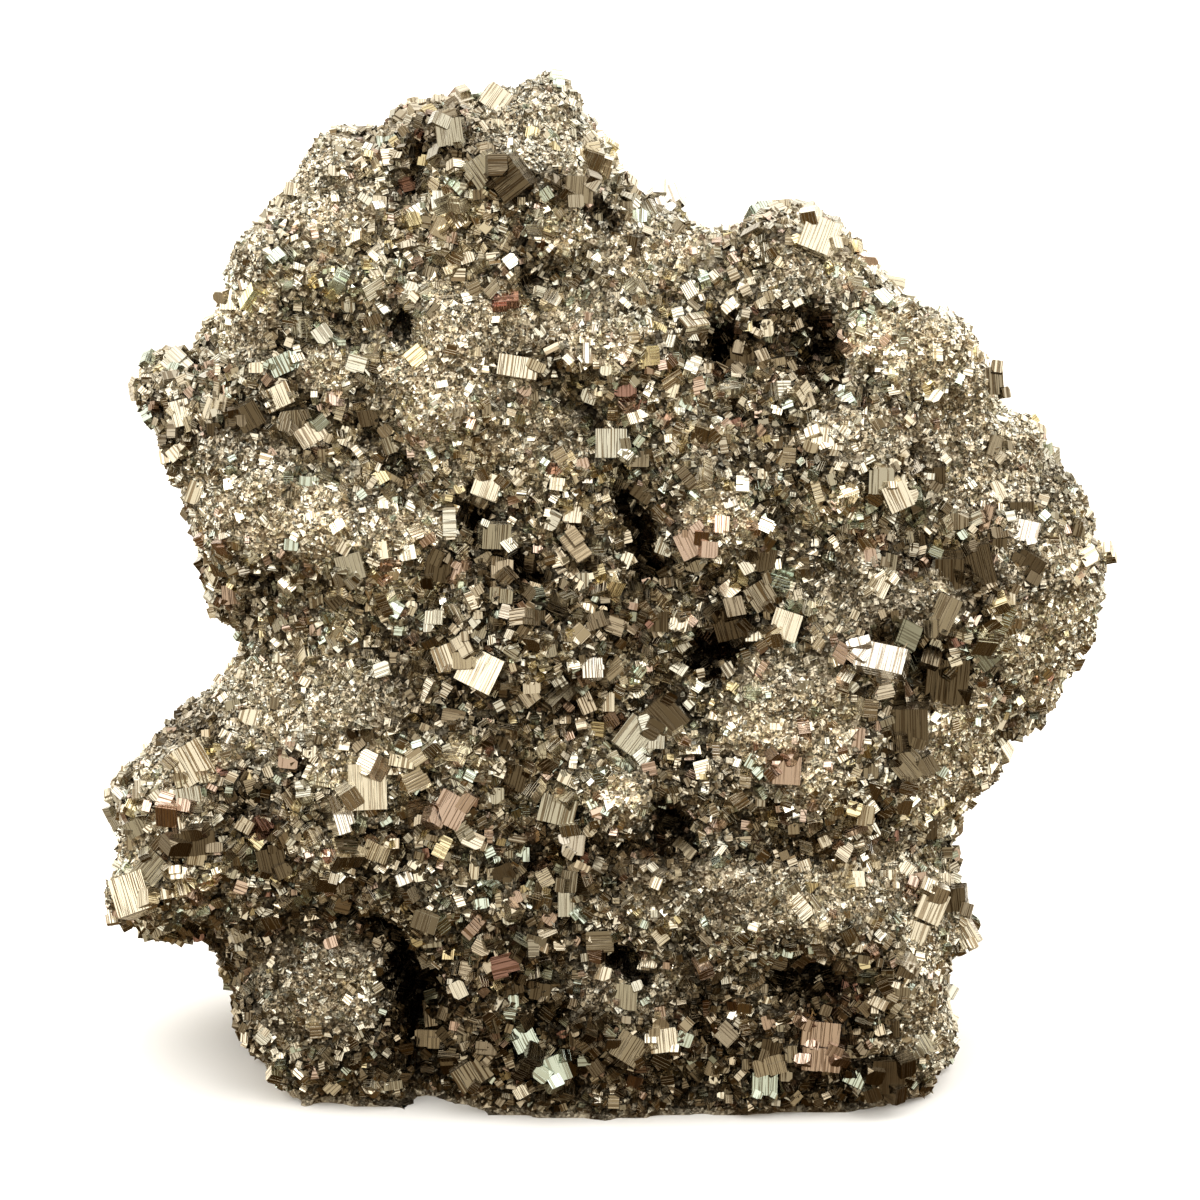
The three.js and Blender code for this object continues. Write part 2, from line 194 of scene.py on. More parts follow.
def makeCalmGround():
    copy = newObject("groundCopy", cluster.data.copy())
    shape = bmesh.new()
    shape.from_mesh(copy.data)
    bmesh.ops.remove_doubles(shape, verts=shape.verts, dist=1e-6)
    shape.to_mesh(copy.data)
    shape.free()
    remesh = copy.modifiers.new("voxels", "REMESH")
    remesh.mode = "VOXEL"
    remesh.voxel_size = groundPlan["voxel"] * mm
    mesh = bpy.data.meshes.new_from_object(copy.evaluated_get(bpy.context.evaluated_depsgraph_get()))
    mesh.materials.clear()
    bpy.data.objects.remove(copy)

    points = coordsOf(mesh)
    edges = np.empty(len(mesh.edges) * 2, np.int32)
    mesh.edges.foreach_get("vertices", edges)
    starts, ends = edges.reshape(-1, 2).T
    count = np.bincount(np.concatenate([starts, ends]), minlength=len(points))[:, None]
    sawn = points[:, 2] < groundPlan["sawnBelow"] * mm
    points[sawn, 2] = 0
    for _ in range(groundPlan["smoothing"]):
        total = np.zeros_like(points)
        for axis in range(3):
            total[:, axis] = np.bincount(starts, points[ends, axis], len(points))
            total[:, axis] += np.bincount(ends, points[starts, axis], len(points))
        points = np.where(sawn[:, None], points, points * 0.4 + total / count * 0.6)
    mesh.vertices.foreach_set("co", points.astype(np.float32).ravel())
    mesh.update()
    tree = BVHTree.FromPolygons([tuple(p) for p in points], [tuple(p.vertices) for p in mesh.polygons])
    return mesh, points, normalsOf(mesh), tree, sawn


print("ground")
groundMesh, calmPoints, calmNormals, calmTree, sawnPoints = makeCalmGround()

# Patches where the crust is fine, and where it is coarse: across, up and two radii in the view, in mm
finePatches = [
    (-13, 167, 10, 8), (-48, 155, 9, 8), (-63, 137, 6, 12), (-32, 122, 8, 14), (-26, 137, 7, 4),
    (-3, 131, 9, 6), (-19, 128, 9, 8), (8, 147, 11, 6), (-6, 148, 5, 4), (56, 127, 13, 8),
    (36, 141, 8, 5), (68, 110, 12, 12), (76, 95, 9, 14), (80, 78, 9, 14), (20, 97, 7, 6),
    (-63, 103, 10, 9), (-50, 97, 13, 8), (-35, 95, 6, 5), (-18, 105, 8, 5), (-48, 124, 6, 5),
    (45, 112, 10, 5), (43, 85, 7, 7), (54, 83, 7, 6), (33, 61, 11, 13), (61, 57, 9, 10),
    (-57, 66, 18, 8), (-74, 56, 7, 6), (-45, 54, 7, 5), (-84, 36, 5, 7), (30, 31, 22, 7),
    (52, 34, 6, 5), (59, 25, 5, 9), (-50, 16, 12, 9), (57, 8, 6, 8), (4, 15, 9, 5), (2.5, 48.5, 6, 6),
    (-12, 112, 8, 5),
]
coarsePatches = [
    (-24, 150, 14, 14), (-20, 82, 16, 12), (2, 84, 14, 14), (27, 78, 10, 12), (52, 68, 18, 12),
    (-8, 50, 18, 10), (-40, 42, 22, 10), (-10, 2, 26, 10), (38, 4, 18, 12), (-76, 42, 10, 10),
    (-58, 113, 14, 9), (60, 92, 12, 7), (52, 24, 9, 9), (-18, 28, 18, 12), (16, 118, 16, 8),
    (50, 102, 12, 7), (-5, 68, 16, 8), (-28, 56, 10, 8),
]

# Patches that are brighter and ones that are darker, partly cleaner and stained faces and partly painted
# light and painted shade: across, up, radii, and how much
cleanAndLitPatches = [
    (-47, 140, 9, 10, 0.6), (-25, 153, 9, 7, 0.5), (-6, 145, 4, 7, 0.5), (-1, 159, 4, 4, 0.4),
    (-28, 113, 7, 10, 0.8), (0, 120, 12, 5, 0.4), (44, 142, 6, 8, 0.4), (42, 128, 8, 8, 0.35),
    (56, 127, 7, 6, 0.35), (40, 99, 9, 4, 0.7), (-35, 87, 7, 4, 0.7), (-43, 79, 6, 6, 0.6),
    (-50, 88, 12, 8, 0.3), (-13, 73, 8, 4, 0.5), (18, 60, 7, 6, 0.6), (9, 67, 8, 4, 0.4),
    (1, 49, 6, 6, 0.9), (-30, 53, 9, 4, 0.5), (68, 76, 9, 5, 0.5), (81, 82, 5, 5, 0.4),
    (77, 66, 4, 4, 0.5), (58, 58, 9, 5, 0.5), (40, 48, 4, 5, 0.4), (56, 47, 7, 5, 0.4),
    (-69, 32, 5, 5, 0.7), (-76, 44, 5, 4, 0.4), (-79, 28, 4, 4, 0.4), (-37, 16, 5, 5, 0.4),
    (-57, 1, 5, 6, 0.9), (-40, -2, 16, 3, 0.4), (-2, -6, 5, 2, 0.5), (52, 20, 5, 5, 0.4),
    (57, 7, 6, 8, 0.3), (18, 21, 12, 4, 0.3), (-58, 135, 4, 4, 0.4), (18, 119, 8, 6, 0.3),
    (-4, 104, 6, 4, 0.5), (20, 94, 6, 5, 0.3), (38, 76, 4, 4, 0.4), (-80, 52, 5, 4, 0.3),
    (-6, 119, 5, 4, 0.5), (-1, 95, 4, 5, 0.6), (34, 97, 6, 3, 0.5), (45, 99, 6, 3, 0.4),
    (17, 79, 5, 4, 0.6), (28, 84, 6, 4, 0.4), (54, 58, 3, 3, 0.4), (10, 138, 6, 4, 0.5),
    (-15, 136, 4, 3, 0.5), (-42, 77, 4, 3, 0.4), (-47, 105, 8, 3, 0.35), (-47, 39, 4, 3, 0.5),
    (8, 67, 4, 4, 0.4), (17, 43, 3, 5, 0.5), (-70, 131, 4, 3, 0.5), (-66, 55, 9, 3, 0.35),
    (-30, 86, 6, 3, 0.4), (-70, 33, 4, 4, 0.4), (-80, 29, 4, 3, 0.3),
]
stainedAndShadedPatches = [
    (-22, 164, 7, 5, -0.5), (-14, 175, 9, 5, -0.3), (-34, 165, 10, 6, -0.25), (-45, 154, 8, 4, -0.3),
    (9, 152, 7, 4, -0.3), (-60, 127, 5, 5, -0.35), (27, 126, 6, 4, -0.45), (-12, 126, 7, 6, -0.3),
    (-60, 110, 16, 4, -0.35), (-8, 111, 5, 4, -0.4), (-41, 101, 4, 4, -0.4), (-20, 87, 4, 7, -0.55),
    (-5, 92, 4, 6, -0.6), (2, 79, 8, 5, -0.45), (50, 86, 10, 9, -0.35), (50, 78, 8, 5, -0.6),
    (49, 66, 4, 4, -0.35), (74, 98, 6, 5, -0.4), (80, 105, 4, 6, -0.35), (68, 87, 6, 4, -0.35),
    (52, 108, 16, 6, -0.2), (-72, 61, 8, 5, -0.5), (-63, 50, 6, 6, -0.45), (-42, 68, 6, 3, -0.3),
    (-8, 65, 11, 5, -0.45), (-35, 63, 10, 4, -0.25), (33, 70, 6, 4, -0.3), (-5, 38, 6, 5, -0.5),
    (31, 39, 12, 6, -0.4), (20, 29, 8, 4, -0.35), (-50, 25, 12, 6, -0.35), (-18, 21, 12, 5, -0.45),
    (-14, 5, 16, 9, -0.4), (-31, 9, 6, 3, -0.3), (13, 13, 8, 4, -0.4), (39, 8, 7, 5, -0.5),
    (55, 38, 4, 4, -0.25), (7, 54, 4, 5, -0.6), (50, 75, 7, 4, -0.4), (7, 36, 7, 4, -0.4),
    (-28, 122, 6, 4, -0.35), (-26, 162, 5, 3, -0.3), (-8, 163, 4, 3, -0.35), (-59, 143, 6, 4, -0.3),
    (60, 133, 6, 4, -0.35), (77, 85, 10, 3, -0.35), (-14, 81, 4, 3, -0.4), (40, 88, 4, 6, -0.3),
    (-76, 55, 5, 6, -0.35), (-23, 70, 4, 3, -0.35), (1, 136, 3, 3, -0.35), (36, 139, 8, 3, -0.3),
    (20, 27, 6, 3, -0.3), (-2, 14, 4, 4, -0.3), (39, 7, 4, 4, -0.4), (-58, 21, 5, 4, -0.25),
]


# How far each point lies in one of the patches, from 0 to 1, with a ragged rim.
def patchShare(patches, across, up, ragged):
    share = np.zeros(len(across))
    for x, y, rx, ry in patches:
        share = np.maximum(share, 1.3 - np.hypot((across - x) / rx, (up - y) / ry) + ragged * 0.35)
    return np.clip(share * 2, 0, 1)


across, up = placesInView(calmPoints)
ragged = hills(calmPoints / (6 * mm), 77)
towards = np.array(eye) - calmPoints
towards /= np.linalg.norm(towards, axis=1)[:, None]
facing = np.clip((np.sum(calmNormals * towards, axis=1) + 0.6) * 3, 0, 1) * (calmPoints[:, 1] < 18 * mm)
elsewhere = np.clip(hills(calmPoints / (22 * mm), 78) * 3 + ragged * 0.6, 0, 1)  # fine patches on the back
fine = patchShare(finePatches, across, up, ragged) * facing + elsewhere * (1 - facing)
coarse = np.clip(patchShare(coarsePatches, across, up, ragged) - fine, 0, 1) * facing
coarse += (1 - elsewhere) * (1 - facing)

# Painted light and shade, with some clean and stained tone, from the patches, on the points that face the
# front
patchToneAndLight = np.ones(len(calmPoints))
for x, y, rx, ry, amount in cleanAndLitPatches + stainedAndShadedPatches:
    patchToneAndLight *= 1 + amount * np.exp(-((across - x) / rx) ** 2 - ((up - y) / ry) ** 2) * facing

# How shut in each point is: 0 in the open, 1 at the bottom of a deep hole.
hollowPlan = {
    "rays": 10,
    "reach": 26,  # mm that a ray goes
    "start": 1.2,  # mm above the surface
    "lean": 1.1,  # how much the rays favour the way straight out
    "seed": 5,
}


def hollowness():
    rng = np.random.default_rng(hollowPlan["seed"])
    spread = rng.normal(size=(hollowPlan["rays"], 3))
    spread /= np.linalg.norm(spread, axis=1)[:, None]
    shut = np.zeros(len(calmPoints))
    for i, (point, normal) in enumerate(zip(calmPoints, calmNormals)):
        if sawnPoints[i]:
            continue
        start = Vector(point + normal * hollowPlan["start"] * mm)
        for ray in spread:
            way = Vector(normal * hollowPlan["lean"] + ray)
            if calmTree.ray_cast(start, way, hollowPlan["reach"] * mm)[0]:
                shut[i] += 1
    return shut / hollowPlan["rays"]


hollow = hollowness()
print("hollows", np.percentile(hollow, [50, 75, 90, 97]).round(2))

# Pyrite: iron sulphide that grew in cubes, an opaque pale brass-coloured metal to the eye. Its faces are
# ruled with fine growth lines, at right angles to those of the next face, and each face mirrors one part of
# the room. The lines are drawn coarser than the finest real ones, which would be too fine to show.
pyritePlan = {
    "kinds": {  # colour of each kind of face, and the share of the crystals that have it
        "pale": ("#d7d0bd", 0.40),
        "silver": ("#c3c1b3", 0.23),
        "bronze": ("#a39b89", 0.17),
        "rosy": ("#c2ae9f", 0.06),
        "green": ("#c6d2c6", 0.07),
        "gold": ("#ddd2ab", 0.04),
        "white": ("#e4e1d8", 0.02),
        "red": ("#a58377", 0.01),
    },
    "lineWidth": (0.34, -0.014),  # mm from line to line, and how much that changes for each mm of the edge
    "ridge": (0.39, 0.48),  # level of the noise between which a line turns into a ridge
    "lineLength": 30.0,  # mm that a line runs before it fades
    "lineDepth": 0.11,  # mm
    "line": "#937e60",  # what a line keeps of the colour of its face: painted shade in its groove
    "shadeTint": "#c4a674",  # what painted shade leaves of the colour where the shade value is low: in hollows, crevices, towards the bottom and on darker crystals
    "lineStrength": (0.4, 1.0),  # from the plainest crystal to the most ruled
    "roughness": (0.13, 0.38),  # on the ridges and in the lines
    "sugar": 0.42,  # mm across the finer grains on the smallest crystals
    "gapShade": 0.88,  # share of its brightness that painted shade takes in the gap between two of those
    "gap": (0.42, 0.62),  # share of a grain's width from its middle, where the gap begins and is deepest
    "grainRoughness": (0.3, 0.6, 1.6),  # added on the smallest grains, and the mm between which that fades
}


def pyriteFinish():
    plan = pyritePlan
    material = bpy.data.materials.new("pyrite, striated cube faces")
    material.use_nodes = True
    tree = material.node_tree
    tree.nodes.clear()
    seed = put(tree, "ShaderNodeAttribute", attribute_name="crystalSeed").outputs["Fac"]
    size = put(tree, "ShaderNodeAttribute", attribute_name="crystalSize").outputs["Fac"]
    shade = put(tree, "ShaderNodeAttribute", attribute_name="shade").outputs["Fac"]
    face = put(tree, "ShaderNodeUVMap", uv_map="UVMap").outputs["UV"]
    inMm = put(tree, "ShaderNodeVectorMath", {0: face, "Scale": size}, operation="SCALE").outputs[0]
    width = put(tree, "ShaderNodeMath", {0: size, 1: plan["lineWidth"][1], 2: plan["lineWidth"][0]},
                operation="MULTIPLY_ADD").outputs[0]
    linesPerMm = put(tree, "ShaderNodeMath", {0: 1.0, 1: width}, operation="DIVIDE").outputs[0]
    inLines = put(tree, "ShaderNodeVectorMath", {0: inMm, "Scale": linesPerMm}, operation="SCALE").outputs[0]
    ruled = put(tree, "ShaderNodeVectorMath", {0: inLines, 1: (0.5 / plan["lineLength"], 1, 1)},
                operation="MULTIPLY").outputs[0]
    own = put(tree, "ShaderNodeVectorMath", {0: (31, 57, 83), "Scale": seed}, operation="SCALE").outputs[0]
    ruled = put(tree, "ShaderNodeVectorMath", {0: ruled, 1: own}, operation="ADD").outputs[0]
    noise = put(tree, "ShaderNodeTexNoise", {"Vector": ruled, "Scale": 1.0, "Detail": 1.0, "Roughness": 0.6},
                noise_dimensions="2D").outputs[0]
    ridge = put(tree, "ShaderNodeMapRange", {"Value": noise, "From Min": plan["ridge"][0],
                                             "From Max": plan["ridge"][1]},
                interpolation_type="SMOOTHSTEP").outputs[0]
    spreadSeed = put(tree, "ShaderNodeMath", {0: seed, 1: 971.0}, operation="MULTIPLY").outputs[0]
    chance = put(tree, "ShaderNodeTexWhiteNoise", {"W": spreadSeed}, noise_dimensions="1D").outputs["Value"]
    strength = put(tree, "ShaderNodeMapRange", {"Value": chance, "To Min": plan["lineStrength"][0],
                                                "To Max": plan["lineStrength"][1]}).outputs[0]
    valley = put(tree, "ShaderNodeMath", {0: 1.0, 1: ridge}, operation="SUBTRACT").outputs[0]
    line = put(tree, "ShaderNodeMath", {0: valley, 1: strength}, operation="MULTIPLY").outputs[0]

    ramp = put(tree, "ShaderNodeValToRGB", {"Fac": seed})
    ramp.color_ramp.interpolation = "CONSTANT"
    start = 0.0
    for i, (colour, share) in enumerate(plan["kinds"].values()):
        stop = ramp.color_ramp.elements[i] if i < 2 else ramp.color_ramp.elements.new(start)
        stop.position = start
        stop.color = srgb(colour)
        start += share
    white = (1, 1, 1, 1)
    # Painted shade: the colour darkens in the grooves of the lines, where the bump is low
    ruling = put(tree, "ShaderNodeMix", {0: line, 6: white, 7: srgb(plan["line"])},
                 data_type="RGBA").outputs[2]
    # Painted shade: where the shade value is low the colour turns browner as well as darker
    shadeTint = put(tree, "ShaderNodeMix", {0: shade, 6: srgb(plan["shadeTint"]), 7: white},
                data_type="RGBA").outputs[2]
    darkened = put(tree, "ShaderNodeVectorMath", {0: ruling, 1: shadeTint}, operation="MULTIPLY").outputs[0]
    coloured = put(tree, "ShaderNodeVectorMath", {0: ramp.outputs[0], 1: darkened},
                   operation="MULTIPLY").outputs[0]
    shaded = put(tree, "ShaderNodeVectorMath", {0: coloured, "Scale": shade}, operation="SCALE").outputs[0]
    added, smallest, largest = plan["grainRoughness"]
    sugary = put(tree, "ShaderNodeMapRange", {"Value": size, "From Min": smallest, "From Max": largest,
                                              "To Min": added, "To Max": 0.0}).outputs[0]
    ruledRough = put(tree, "ShaderNodeMapRange", {"Value": line, "To Min": plan["roughness"][0],
                                                  "To Max": plan["roughness"][1]}).outputs[0]
    rough = put(tree, "ShaderNodeMath", {0: ruledRough, 1: sugary}, operation="ADD").outputs[0]
    place = put(tree, "ShaderNodeTexCoord").outputs["Object"]
    cells = put(tree, "ShaderNodeTexVoronoi", {"Vector": place, "Scale": 1 / (plan["sugar"] * mm)})
    # Painted shade in the gaps between the finer grains of the smallest crystals
    gap = put(tree, "ShaderNodeMapRange", {"Value": cells.outputs["Distance"], "From Min": plan["gap"][0],
                                           "From Max": plan["gap"][1], "To Max": plan["gapShade"]}).outputs[0]
    small = put(tree, "ShaderNodeMath", {0: sugary, 1: added}, operation="DIVIDE").outputs[0]
    gapHere = put(tree, "ShaderNodeMath", {0: gap, 1: small}, operation="MULTIPLY").outputs[0]
    outOfGap = put(tree, "ShaderNodeMath", {0: 1.0, 1: gapHere}, operation="SUBTRACT").outputs[0]
    final = put(tree, "ShaderNodeVectorMath", {0: shaded, "Scale": outOfGap}, operation="SCALE").outputs[0]
    bump = put(tree, "ShaderNodeBump", {"Height": ridge, "Strength": strength,
                                        "Distance": plan["lineDepth"] * mm}).outputs[0]
    shader = put(tree, "ShaderNodeBsdfPrincipled", {"Base Color": final, "Metallic": 1.0, "Roughness": rough,
                                                    "Normal": bump})
    put(tree, "ShaderNodeOutputMaterial", {"Surface": shader.outputs[0]})
    return material


# The ground between the cubes: druse, the same mineral as a fine crust of grains, each with its own tone,
# darkened by painted shade where it is shut in and between the coarser crystals. The underside is a plain
# sawn face, dull, with marks of the blade.
drusePlan = {
    "light": "#d3c8b0",
    "dark": "#4c3b28",
    "grain": 0.5,  # mm across one grain
    "grainDepth": 0.25,  # mm
    "roughness": 0.5,
    "sawn": "#8d846f",
    "sawnRoughness": 0.5,
    "sawMark": 0.8,  # mm between the marks of the blade
    "sawnBelow": 0.05,  # mm above the base
}


def druseFinish():
    plan = drusePlan
    material = bpy.data.materials.new("pyrite, fine druse and sawn face")
    material.use_nodes = True
    tree = material.node_tree
    tree.nodes.clear()
    place = put(tree, "ShaderNodeTexCoord").outputs["Object"]
    shade = put(tree, "ShaderNodeAttribute", attribute_name="groundShade").outputs["Fac"]
    cells = put(tree, "ShaderNodeTexVoronoi", {"Vector": place, "Scale": 1 / (plan["grain"] * mm)},
                distance="CHEBYCHEV")
    tone = put(tree, "ShaderNodeSeparateColor", {0: cells.outputs["Color"]}).outputs[0]
    colour = put(tree, "ShaderNodeMix", {0: tone, 6: srgb(plan["dark"]), 7: srgb(plan["light"])},
                 data_type="RGBA").outputs[2]
    druse = put(tree, "ShaderNodeVectorMath", {0: colour, "Scale": shade}, operation="SCALE").outputs[0]
    height = put(tree, "ShaderNodeSeparateXYZ", {0: place}).outputs["Z"]
    sawn = put(tree, "ShaderNodeMath", {0: height, 1: plan["sawnBelow"] * mm},
               operation="LESS_THAN").outputs[0]
    alongBlade = put(tree, "ShaderNodeVectorMath", {0: place, 1: (0.02 / mm, 1 / (plan["sawMark"] * mm), 0)},
                     operation="MULTIPLY").outputs[0]
    marks = put(tree, "ShaderNodeTexNoise", {"Vector": alongBlade, "Scale": 1.0, "Detail": 2.0}).outputs[0]
    sawnTone = put(tree, "ShaderNodeMix", {0: marks, 6: srgb(plan["dark"]), 7: srgb(plan["sawn"])},
                   data_type="RGBA").outputs[2]
    final = put(tree, "ShaderNodeMix", {0: sawn, 6: druse, 7: sawnTone}, data_type="RGBA").outputs[2]
    relief = put(tree, "ShaderNodeMix", {0: sawn, 2: cells.outputs["Distance"], 3: marks},
                 data_type="FLOAT").outputs[0]
    bump = put(tree, "ShaderNodeBump", {"Height": relief, "Strength": 0.7,
                                        "Distance": plan["grainDepth"] * mm}).outputs[0]
    rough = put(tree, "ShaderNodeMapRange", {"Value": sawn, "To Min": plan["roughness"],
                                             "To Max": plan["sawnRoughness"]}).outputs[0]
    shader = put(tree, "ShaderNodeBsdfPrincipled", {"Base Color": final, "Metallic": 1.0, "Roughness": rough,
                                                    "Normal": bump})
    put(tree, "ShaderNodeOutputMaterial", {"Surface": shader.outputs[0]})
    return material


crystalFinish = pyriteFinish()


# Where a point lies in the ruling of its face: each face has a stretch of it to itself. The lines of growth
# run along the first number.
def placeInRuling(point, axis, side, edge):
    across, along = (axis + 1) % 3, (axis + 2) % 3
    return point[along] / edge + 3.7 * axis, point[across] / edge + 9.1 * axis + 4.3 * side


# Adds a box, with its faces turned outwards.
def addBox(shape, centre, half, turn=Matrix.Identity(3), origin=Vector((0, 0, 0)), edge=1):
    first = len(shape["points"])
    corners = [Vector((x, y, z)) for z in (-1, 1) for y in (-1, 1) for x in (-1, 1)]
    local = [Vector(centre) + Vector([c * h for c, h in zip(corner, half)]) for corner in corners]
    shape["points"] += [origin + turn @ point for point in local]
    for axis in range(3):
        across, along = (axis + 1) % 3, (axis + 2) % 3
        for side in (-1, 1):
            ring = []
            for acrossSide, alongSide in ((-1, -1), (1, -1), (1, 1), (-1, 1)):
                signs = {axis: side, across: acrossSide, along: alongSide}
                ring.append(sum((signs[k] > 0) << k for k in range(3)))
            if side < 0:
                ring.reverse()
            shape["faces"].append([first + i for i in ring])
            shape["uvs"] += [placeInRuling(local[i], axis, side, edge) for i in ring]


# Adds the corner of a cube that points up, closed below: the top of a crystal mostly sunk in its neighbours.
def addCorner(shape, edges, rise):
    first = len(shape["points"])
    turn = Vector((1, 1, 1)).rotation_difference(Vector((0, 0, 1))).to_matrix()
    top = Vector((0, 0, rise))
    shape["points"].append(top)
    shape["points"] += [top + turn @ Vector([-edge if k == axis else 0 for k in range(3)])
                        for axis, edge in enumerate(edges)]
    for axis, ring in enumerate([(0, 1, 2), (0, 2, 3), (0, 3, 1), (1, 3, 2)]):
        shape["faces"].append([first + i for i in ring])
        shape["uvs"] += [(4.1 * axis, 2.3 * axis), (4.1 * axis + 1, 2.3 * axis), (4.1 * axis, 2.3 * axis + 1)]


# Adds a cube with its corners cut off, each by its own share of the edge, as the second form of growth does.
def addCutCube(shape, centre, half, cuts, turn=Matrix.Identity(3), origin=Vector((0, 0, 0)), edge=1):
    first = len(shape["points"])
    local = []
    for i, cut in enumerate(cuts):
        signs = [((i >> k) & 1) * 2 - 1 for k in range(3)]
        for axis in range(3):
            point = [signs[k] * half[k] * (1 - (cut if k == axis else 0)) for k in range(3)]
            local.append(Vector(centre) + Vector(point))
    shape["points"] += [origin + turn @ point for point in local]
    for axis in range(3):
        across, along = (axis + 1) % 3, (axis + 2) % 3
        for side in (0, 1):
            ring = []
            for k, (acrossSide, alongSide) in enumerate(((0, 0), (1, 0), (1, 1), (0, 1))):
                corner = (side << axis) + (acrossSide << across) + (alongSide << along)
                ends = (along, across) if k % 2 == 0 else (across, along)
                ring += [corner * 3 + end for end in ends]
            if side == 0:
                ring.reverse()
            shape["faces"].append([first + i for i in ring])
            shape["uvs"] += [placeInRuling(local[i], axis, side, edge) for i in ring]
    for i in range(8):
        odd = bin(i).count("1") % 2
        ring = [3 * i, 3 * i + 1, 3 * i + 2] if odd else [3 * i, 3 * i + 2, 3 * i + 1]
        shape["faces"].append([first + k for k in ring])
        shape["uvs"] += [(5.3 * i, 0.0), (5.3 * i + 0.2, 0.0), (5.3 * i + 0.1, 0.2)]


# Adds a square-topped point, closed below: a crystal of which little more than one face stands out.
def addCap(shape, edges, rise):
    first = len(shape["points"])
    wide, high, deep = edges
    ring = [(-1, -1), (1, -1), (1, 1), (-1, 1)]
    shape["points"] += [Vector((x * wide / 2, y * high / 2, rise)) for x, y in ring]
    shape["points"].append(Vector((0, 0, rise - deep)))
    shape["faces"].append([first + i for i in range(4)])
    shape["uvs"] += [(x * wide / 2, y * high / 2) for x, y in ring]
    for i in range(4):
        shape["faces"].append([first + (i + 1) % 4, first + i, first + 4])
        shape["uvs"] += [(3.1 + i, 0.0), (4.1 + i, 0.0), (3.6 + i, deep)]


def meshOf(name, shape):
    mesh = bpy.data.meshes.new(name)
    mesh.from_pydata([tuple(point) for point in shape["points"]], [], shape["faces"])
    layer = mesh.uv_layers.new(name="UVMap")
    layer.data.foreach_set("uv", np.array(shape["uvs"], np.float32).ravel())
    mesh.shade_flat()
    return mesh


# Small sets of crystal shapes with edges about 1 long, to pick from
formPlan = {
    "corners": [(1.4, 1.4, 1.4), (1.7, 1.2, 1.4), (1.5, 1.5, 1.1)],
    "caps": [(1, 1, 1.5), (1.15, 0.85, 1.4), (0.9, 1, 1.6)],
    "plain": [(1, 1, 1), (1.1, 0.8, 0.95), (1.5, 0.75, 0.7), (0.95, 0.95, 0.6), (1.3, 0.7, 0.9)],
    "mixed": [(1, 1, 1), (1.1, 0.85, 0.95), (1.5, 0.75, 0.8), (1, 0.95, 0.7), (1.35, 0.7, 0.8)],
    "stepped": [(1, 1, 1), (1.1, 0.9, 0.95), (1, 0.85, 0.7), (1.25, 0.8, 0.85), (1.3, 0.75, 0.95)],
    "cut": [(1, 1, 1), (1.1, 0.85, 0.9), (0.95, 0.9, 0.7)],
    "cutShare": 0.62,  # of half an edge, that the most cut corner loses
    "boxes": {"plain": 1, "mixed": 2, "stepped": 4},  # grown together in each shape
    "stepSize": 0.16,  # share of the edge by which the steps of growth fall short
    "twin": (0.5, 0.75),  # share of the edge of a smaller crystal that stands out of the side
    "rise": 0.45,  # share of the edge that corners and caps stand above their middle
    "sets": {
        "grains": ("corners", "caps"),
        "small": ("plain", "caps"),
        "mixed": ("mixed", "cut"),
        "stepped": ("stepped",),
    },
    "seed": 21,
}


# Boxes that have grown together: the first ones make steps on the faces, and the last is a twin at one side.
def addGrownBoxes(shape, edges, count, rng):
    for step in range(count):
        half = edges / 2
        centre = np.zeros(3)
        if step == count - 1 and count > 1:
            half = half * rng.uniform(*formPlan["twin"], 3)
            centre = edges / 2 * rng.uniform(0.35, 0.7, 3) * rng.choice([-1, 1], 3)
        elif count > 1:
            half = half * (1 - formPlan["stepSize"] * rng.uniform(0.3, 1, 3))
            half[step % 3] = edges[step % 3] / 2
            centre = rng.uniform(-1, 1, 3) * (edges / 2 - half)
        addBox(shape, centre, half)


# How much of half an edge each corner loses: little at most of them, and much at a few.
def cornerCuts(rng):
    return 0.04 + formPlan["cutShare"] * rng.uniform(0, 1, 8) ** 2


def makeForms():
    rng = np.random.default_rng(formPlan["seed"])
    collections = {}
    for name, kinds in formPlan["sets"].items():
        collections[name] = bpy.data.collections.new(name)
        for kind in kinds:
            for i, edges in enumerate(formPlan[kind]):
                shape = {"points": [], "faces": [], "uvs": []}
                if kind == "corners":
                    addCorner(shape, edges, formPlan["rise"])
                elif kind == "caps":
                    addCap(shape, edges, formPlan["rise"])
                elif kind == "cut":
                    addCutCube(shape, (0, 0, 0), np.array(edges) / 2, cornerCuts(rng))
                else:
                    addGrownBoxes(shape, np.array(edges), formPlan["boxes"][kind], rng)
                form = bpy.data.objects.new(f"{name}{kind}{i}", meshOf(f"{name}{kind}{i}", shape))
                form.data.materials.append(crystalFinish)
                collections[name].objects.link(form)
    return collections


forms = makeForms()


